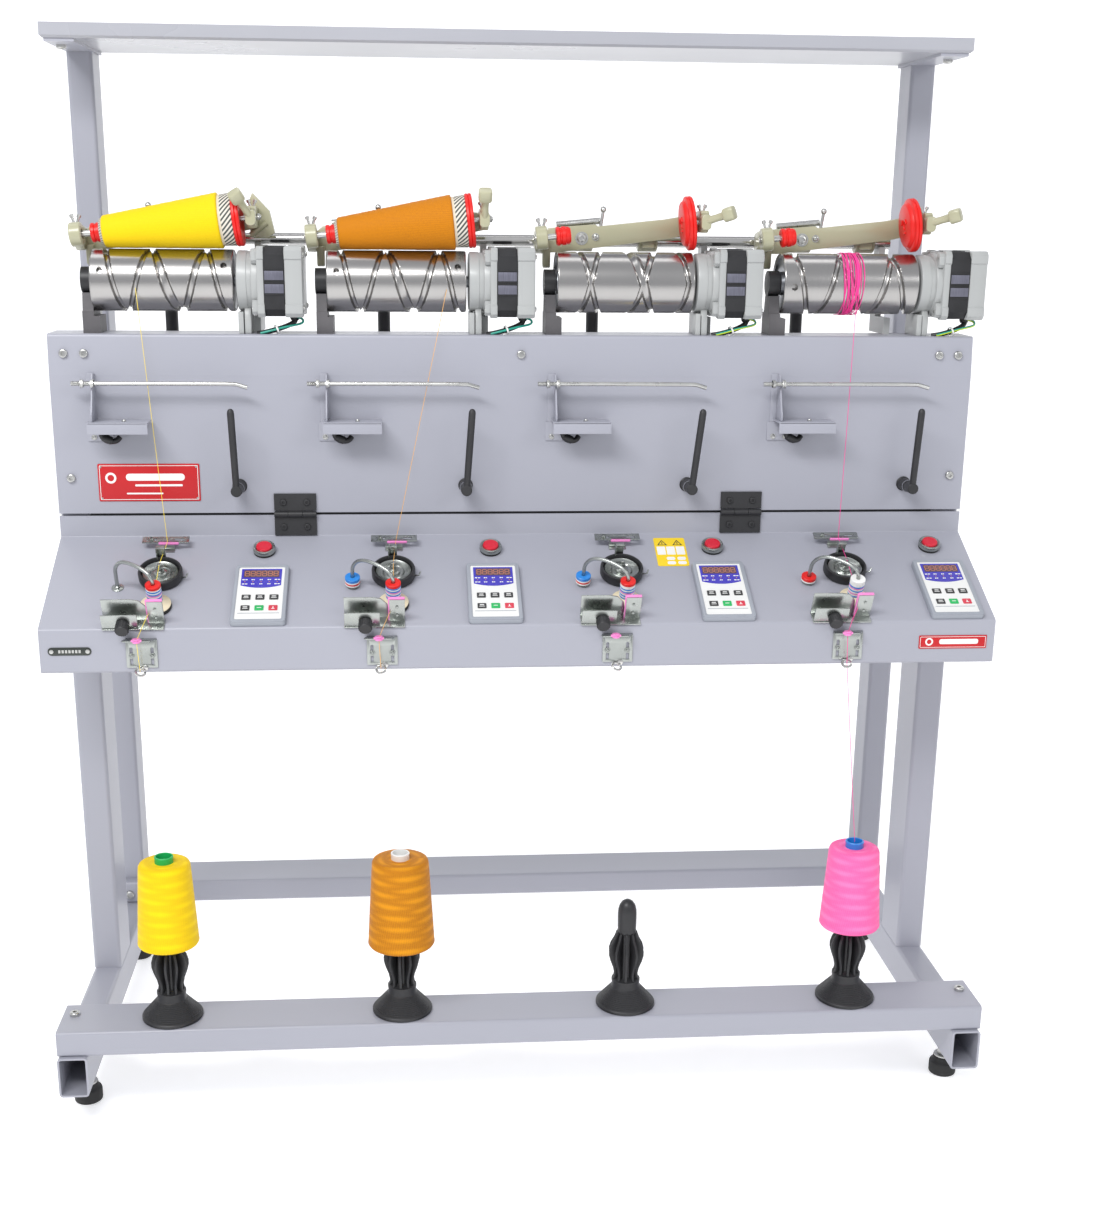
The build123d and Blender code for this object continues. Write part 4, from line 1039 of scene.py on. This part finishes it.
def lever(head):
    number, x = head + 1, HEAD_X[head] + 75
    lean = radians(LEVER_LEAN[head])
    top = Vector((x + 100 * sin(lean), -40, LEVER_Z + 100 * cos(lean)))
    low = Vector((x, -40, LEVER_Z))
    bm = bmesh.new()
    unit = (top - low).normalized()
    place = frame_matrix(low, (0, 1, 0), unit)
    add_lathe(bm, [(0, -3), (3.6, -2), (4.3, 0), (4.5, 60), (4.5, 97.4), (4.1, 100.2), (2.6, 102.6),
                   (0, 103.6)], place, 28)
    add_lathe(bm, [(0, 0), (6.2, 0), (7, 0.8), (7, 21.6), (6.2, 22.4), (0, 22.4)],
              facing_front(x, -22.6, LEVER_Z), 32)
    piece(f"stop_lever_{number}", bm, f"lever_{number}", black_enamel, [f"lever_{number}"], "black_plastic")
    bm = bmesh.new()
    add_lathe(bm, [(9.5, 0), (9.5, 1), (8.2, 2), (8.2, 21), (7.4, 22), (0, 22)],
              facing_front(x, -0.2, LEVER_Z), 32)
    piece(f"lever_boss_{number}", bm, "root", black_enamel)


def gap_shade_strip():
    """A black strip inside the hood that paints the shade seen through the gap between the hood and the lid."""
    bm = bmesh.new()
    # painted shade: a dark strip stands for the shaded interior behind the hood-lid gap, not a real part
    add_span(bm, (-552, 552), (4.5, 7), (738, 764), 0.5)
    piece("painted_gap_shade", bm, "root", black_enamel)


def labels():
    """Plain plates where the machine carries its name, its number and its notices."""
    bm = bmesh.new()
    add_prism(bm, rounded_outline(128, 48, 1.5), 1.2, facing_front(-474, 0, 785), 0.3)
    piece("name_plate", bm, "root", label_red)
    bm = bmesh.new()
    border = rounded_outline(124, 44, 1)
    add_prism(bm, border, 0.3, facing_front(-474, -1.2, 785), 0, [rounded_outline(122.6, 42.6, 0.8)])
    for width, height, dx, dz in ((74, 9, 8, 7), (60, 2.6, 12, -3.5), (46, 2.0, -6, -14)):
        add_prism(bm, rounded_outline(width, height, height / 2.2), 0.3,
                  facing_front(-474 + dx, -1.2, 785 + dz))
    add_prism(bm, arc_points(0, 0, 7, 0, 345, 23), 0.3, facing_front(-522, -1.2, 791), 0,
              [arc_points(0, 0, 4.2, 0, 345, 23)])
    piece("name_plate_marks", bm, "root", white_plastic)
    bm = bmesh.new()
    for dx, dz in ((-60, 20), (60, 20), (-60, -20), (60, -20)):
        add_screw(bm, facing_front(-474 + dx, -1.2, 785 + dz), 0.9, 0.8)
    piece("name_plate_rivets", bm, "root", screw_steel)
    lip = SLOPE_FRONT_Y
    bm = bmesh.new()
    add_prism(bm, rounded_outline(87, 17, 1), 1.0, facing_front(536.5, lip, 606.5), 0.3)
    piece("small_plate", bm, "console_lid", label_red)
    bm = bmesh.new()
    add_prism(bm, rounded_outline(50, 6.5, 2.6), 0.3, facing_front(544, lip - 1, 607))
    add_prism(bm, arc_points(0, 0, 5, 0, 345, 23), 0.3, facing_front(506, lip - 1, 607), 0,
              [arc_points(0, 0, 3, 0, 345, 23)])
    add_prism(bm, rounded_outline(84, 14, 1), 0.3, facing_front(536.5, lip - 1, 606.5), 0,
              [rounded_outline(83, 13, 0.8)])
    piece("small_plate_marks", bm, "console_lid", white_plastic)
    bm = bmesh.new()
    add_prism(bm, rounded_outline(52, 10, 4.8), 0.9, facing_front(-554, lip, 607), 0.2)
    piece("serial_plate", bm, "console_lid", label_black)
    bm = bmesh.new()
    for k in range(7):
        add_prism(bm, rounded_outline(2.6, 3.8, 0.4), 0.3, facing_front(-566 + 4 * k, lip - 0.9, 607))
    for dx in (-21.5, 21.5):
        add_lathe(bm, [(2.6, 0.9), (2.6, 1.6), (0, 1.9)], facing_front(-554 + dx, lip, 607), 16)
    piece("serial_plate_marks", bm, "console_lid", screw_steel)
    notice = on_console(196.4, 40.5)
    bm = bmesh.new()
    add_prism(bm, rounded_outline(41, 59, 2.5), 0.4, moved(notice, 0, 0, 0.05))
    piece("notice_plate", bm, "console_lid", label_yellow)
    bm = bmesh.new()
    for dx in (-10, 10):
        outer = [(-6.5, 14), (6.5, 14), (0, 25)]
        inner = [(-4.6, 15.1), (4.6, 15.1), (0, 22.8)]
        add_prism(bm, [(px + dx, py) for px, py in outer], 0.2, moved(notice, 0, 0, 0.4), 0,
                  [[(px + dx, py) for px, py in inner]])
        add_prism(bm, [(px + dx, py) for px, py in rounded_outline(1.2, 4, 0.5)], 0.2,
                  moved(notice, 0, 18.4, 0.4))
    piece("notice_marks", bm, "console_lid", label_black)
    bm = bmesh.new()
    for dx in (-12.6, 0, 12.6):
        add_prism(bm, rounded_outline(11, 17, 0.8), 0.2, moved(notice, dx, 2.5, 0.4))
    for dx, dy in ((-2, -14), (12, -14), (-2, -23), (12, -23)):
        add_prism(bm, rounded_outline(11, 6.5, 2.6), 0.2, moved(notice, dx, dy, 0.4))
    piece("notice_boxes", bm, "console_lid", white_plastic)


# ---------------------------------------------------------------- spool stands

def spool_stand(index):
    number, x = index + 1, SPOOL_X[index]
    bm = bmesh.new()
    profile = [(0, 0.1), (37, 0.1), (38, 1), (38, 4), (37, 5.2)]
    for k in range(11):
        r, z = 36.4 - 1.55 * k, 5.4 + 1.75 * k
        profile += [(r, z), (r - 0.2, z + 0.9), (r - 1.1, z + 1.1), (r - 1.2, z + 1.7)]
    profile += [(18.5, 25.5), (17.6, 30), (18.2, 33), (18.2, 36), (13, 37.5), (9.6, 40), (9.4, 98),
                (11, 99.5), (12, 102),
                (12, 104), (11.6, 106), (11.9, 108), (12, 126), (11.6, 132), (10, 138), (7, 142.6),
                (3.4, 145), (0, 145.6)]
    slim = index != 2
    if slim:
        profile = [(min(r, 9.2) if z > 98 else r, z) for r, z in profile]
    add_lathe(bm, profile, upright(x, SPOOL_Y, BEAM_TOP), 48)
    for k in range(10):
        turn = Matrix.Rotation(2 * pi * k / 10 + 0.2, 4, "Z")
        outline = [(8.6, 34), (15, 34.5), (16.6, 37), (15.6, 44), (17.2, 52), (21, 62), (23.1, 70),
                   (23.2, 76), (21, 84), (16.6, 92), (14.4, 98), (13.6, 101), (8.6, 102)]
        if slim:
            outline = [(r, min(z, 91)) for r, z in outline if z < 95] + [(8.6, 91)]
        stand_up = Matrix.Rotation(pi / 2, 4, "X")
        place = upright(x, SPOOL_Y, BEAM_TOP) @ turn @ stand_up @ Matrix.Translation((0, 0, -1.7))
        add_prism(bm, outline, 3.4, place, 0.8)
    piece(f"spool_stand_{number}", bm, "root", black_plastic, ["spool_stands"] if index == 0 else (),
          "black_plastic")


def supply_cone(index, low, high, wide, narrow, yarn, slot_name, core):
    number = index + 1
    body = f"supply_cone_{number}"
    rng = random.Random(30 + index)
    height = high - low
    profile = [(12, low + 0.4), (wide - 5, low + 0.4), (wide - 1.8, low + 1.2), (wide - 0.4, low + 3.4)]
    bands = 9
    for k in range(1, 54):
        t = k / 54
        z = low + 3.4 + (height - 8) * t
        r = wide - 0.3 + (narrow - wide) * (z - low) / height
        r -= 0.10 * abs(sin(pi * t * bands)) + rng.uniform(0, 0.10)
        profile.append((r, z))
    profile += [(narrow - 0.5, high - 4), (narrow - 1.8, high - 1.6), (narrow - 4.5, high - 0.2),
                (14, high - 1), (11, high - 0.6)]
    wound_body(f"supply_thread_{number}", body, profile, upright(SPOOL_X[index], SPOOL_Y, 0), yarn,
               [body], slot_name)
    bm = bmesh.new()
    add_lathe(bm, [(9.8, low + 1), (11.2, low + 0.6), (11.4, high + 5.6), (11.8, high + 6.8),
                   (11.2, high + 7.8), (9.6, high + 7.6),
                   (9.3, high + 4), (9.4, high - 30), (9.8, low + 1)], upright(SPOOL_X[index], SPOOL_Y, 0),
                   40)
    piece(f"supply_core_{number}", bm, body, core)


def foot(number, x, y):
    bm = bmesh.new()
    add_lathe(bm, [(0, 0), (16.6, 0), (17.6, 0.8), (18, 2.5), (18, 14), (17.2, 16.6), (14.5, 18.4),
                   (13.6, 20), (13.2, 24), (11, 25.5), (0, 25.5)], upright(x, y, 0), 48)
    piece(f"foot_pad_{number}", bm, f"foot_{number}", rubber, [f"foot_{number}"], "rubber_pad")
    bm = bmesh.new()
    add_lathe(bm, [(0, 25.2), (12.5, 25.2), (12.5, 26.8), (5, 27), (5, 47.9), (0, 47.9)], upright(x, y, 0),
              24)
    add_hex(bm, 17, 7, upright(x, y, 27.4))
    add_hex(bm, 17, 7, upright(x, y, 40.6))
    piece(f"foot_stud_{number}", bm, f"foot_{number}", screw_steel)


# ---------------------------------------------------------------- threads

def thread(name, points, material, body="root"):
    """A taut thread through the given points."""
    bm = bmesh.new()
    add_tube(bm, points, THREAD_RADIUS, 6)
    piece(name, bm, body, material)


def threads():
    yellow = finish_material("yellow_thread", (0.95, 0.72, 0.05), (0.5, 0.6), 0, 0, 300, 0.05, 0.05, 20)
    orange = finish_material("orange_thread", (0.80, 0.42, 0.12), (0.5, 0.6), 0, 0, 300, 0.05, 0.05, 20)
    pink = finish_material("pink_thread", (0.90, 0.05, 0.32), (0.5, 0.6), 0, 0, 300, 0.05, 0.05, 20)
    for head, material, drum_dx in ((0, yellow, -42), (1, orange, 52), (3, pink, -4)):
        x = HEAD_X[head]
        top = on_console(x - 16, 27, 11.5).translation
        cup_top = on_console(x - 19, 86, 22).translation
        reach = Vector((x + drum_dx, DRUM_Y - 37.6, DRUM_Z - 8))
        edge = top.lerp(reach, 0.86)
        edge.y = -6.5
        thread(f"hood_thread_{head + 1}", [top, top.lerp(edge, 0.5) + Vector((0, -1, 0)), edge, reach],
               material)
        run = [on_console(x - 19, 143, 20).translation, cup_top, top]
        thread(f"console_thread_{head + 1}", run, material, "console_lid")
        lip = Vector((x - 37, SLOPE_FRONT_Y - 12.5, 622))
        eye = Vector((x - 35, SLOPE_FRONT_Y - 10, 583))
        front = on_console(x - 30, 186, 6).translation
        thread(f"lip_thread_{head + 1}", [eye, lip, front, on_console(x - 24, 178, 16).translation,
                                          on_console(x - 19, 162, 14).translation], material, "console_lid")
    x = HEAD_X[3]
    eye = Vector((x - 35, SLOPE_FRONT_Y - 10, 583))
    thread("supply_thread_line", [Vector((SPOOL_X[3], SPOOL_Y, 353)), eye], pink)
    bm = bmesh.new()
    rng = random.Random(5)
    for k in range(26):
        shift = rng.gauss(0, 5.5) - 10
        lean = rng.uniform(-9, 9)
        radius = DRUM_R + 0.45 + rng.uniform(0, 0.9)
        loop = []
        for i in range(49):
            angle = 2 * pi * i / 48
            loop.append((x + shift + lean * cos(angle + 0.5), DRUM_Y + radius * cos(angle),
                         DRUM_Z + radius * sin(angle)))
        add_tube(bm, loop, 0.42, 5, False)
    piece("pink_winding", bm, "drum_4", pink)


# ---------------------------------------------------------------- stage

def stage():
    bm = bmesh.new()
    depth, height, radius = 4.0, 5.0, 1.6
    profile = [(-6.0, 0)] + [(depth - radius + radius * sin(radians(a)), radius - radius * cos(radians(a)))
                             for a in range(0, 91, 6)] + [(depth, height)]
    rows = [[bm.verts.new((x, y, z)) for y, z in profile] for x in (-7, 7)]
    for k in range(len(profile) - 1):
        bm.faces.new((rows[0][k], rows[1][k], rows[1][k + 1], rows[0][k + 1]))
    mesh = bpy.data.meshes.new("studio_floor")
    bm.to_mesh(mesh)
    bm.free()
    mesh.polygons.foreach_set("use_smooth", [True] * len(mesh.polygons))
    floor_material = finish_material("pale_floor", (0.86, 0.86, 0.86), (0.6, 0.7), 0, 0, 60, 0.02, 0.01, 1)
    glow = floor_material.node_tree.nodes["Principled BSDF"]
    glow.inputs["Emission Color"].default_value = (1, 1, 1, 1)
    glow.inputs["Emission Strength"].default_value = 0.42
    mesh.materials.append(floor_material)
    floor_object = bpy.data.objects.new("studio_floor", mesh)
    bpy.context.collection.objects.link(floor_object)

    def area(name, place, target, size, power):
        light = bpy.data.lights.new(name, "AREA")
        light.shape = "RECTANGLE"
        light.size, light.size_y = size
        light.energy = power
        made = bpy.data.objects.new(name, light)
        made.location = place
        made.rotation_euler = (Vector(target) - Vector(place)).to_track_quat("-Z", "Y").to_euler()
        bpy.context.collection.objects.link(made)

    area("key_light", (-1.1, -2.0, 2.75), (0, 0, 0.8), (1.9, 0.5), 66)
    area("fill_light", (2.2, -2.6, 2.2), (0, 0, 0.8), (1.2, 0.8), 14)
    area("top_light", (0, 0.6, 3.2), (0, 0, 0.9), (2.6, 1.2), 15)
    world = bpy.data.worlds.new("studio")
    bpy.context.scene.world = world
    world.use_nodes = True
    background = world.node_tree.nodes["Background"]
    background.inputs["Color"].default_value = (0.93, 0.95, 1.0, 1)
    background.inputs["Strength"].default_value = 0.66


def camera():
    yaw, pitch, roll = 0.0788, -0.2804, 0.0091
    forward = Vector((sin(yaw) * cos(pitch), cos(yaw) * cos(pitch), sin(pitch)))
    level_right = Vector((cos(yaw), -sin(yaw), 0))
    level_up = level_right.cross(forward)
    right = level_right * cos(roll) + level_up * sin(roll)
    up = right.cross(forward)
    data = bpy.data.cameras.new("camera")
    data.sensor_fit = "HORIZONTAL"
    data.sensor_width = 36
    data.lens = 52.17
    data.shift_x = 0.01452
    data.shift_y = 0.0600
    made = bpy.data.objects.new("camera", data)
    rotation = Matrix((right, up, -forward)).transposed().to_4x4()
    made.matrix_world = Matrix.Translation((-0.141, -2.0878, 1.1217)) @ rotation
    bpy.context.collection.objects.link(made)
    bpy.context.scene.camera = made


camera()
stage()
paint_cad_nodes()
for head in range(HEADS):
    drum(head, (-1.57, -1.57, 0.0, -2.0)[head])
    chucks(head)
    cradle(head)
    handle(head)
    motor(head)
    motor_cable(head)
    control_panel(head)
    push_button(head)
    tensioner(head)
    console_brackets(head)
    hood_guide(head)
    lever(head)
    spool_stand(head)
for head in WOUND_HEADS:
    wound_cone(head)
    paper_border(head)
supply_cone(0, 236, 346, 38.5, 32.2, yellow_banded, "yellow_yarn", key_green)
supply_cone(1, 228, 344, 42.5, 35.7, orange_banded, "orange_yarn", white_plastic)
supply_cone(3, 238, 347, 39.0, 32.0, pink_yarn, "pink_yarn", blue_plastic)
for number, (x, y) in enumerate(((-571.5, -165), (571.5, -165), (-571.5, 255), (571.5, 255)), 1):
    foot(number, x, y)
gap_shade_strip()
labels()
threads()
bpy.context.scene.view_settings.view_transform = "Standard"
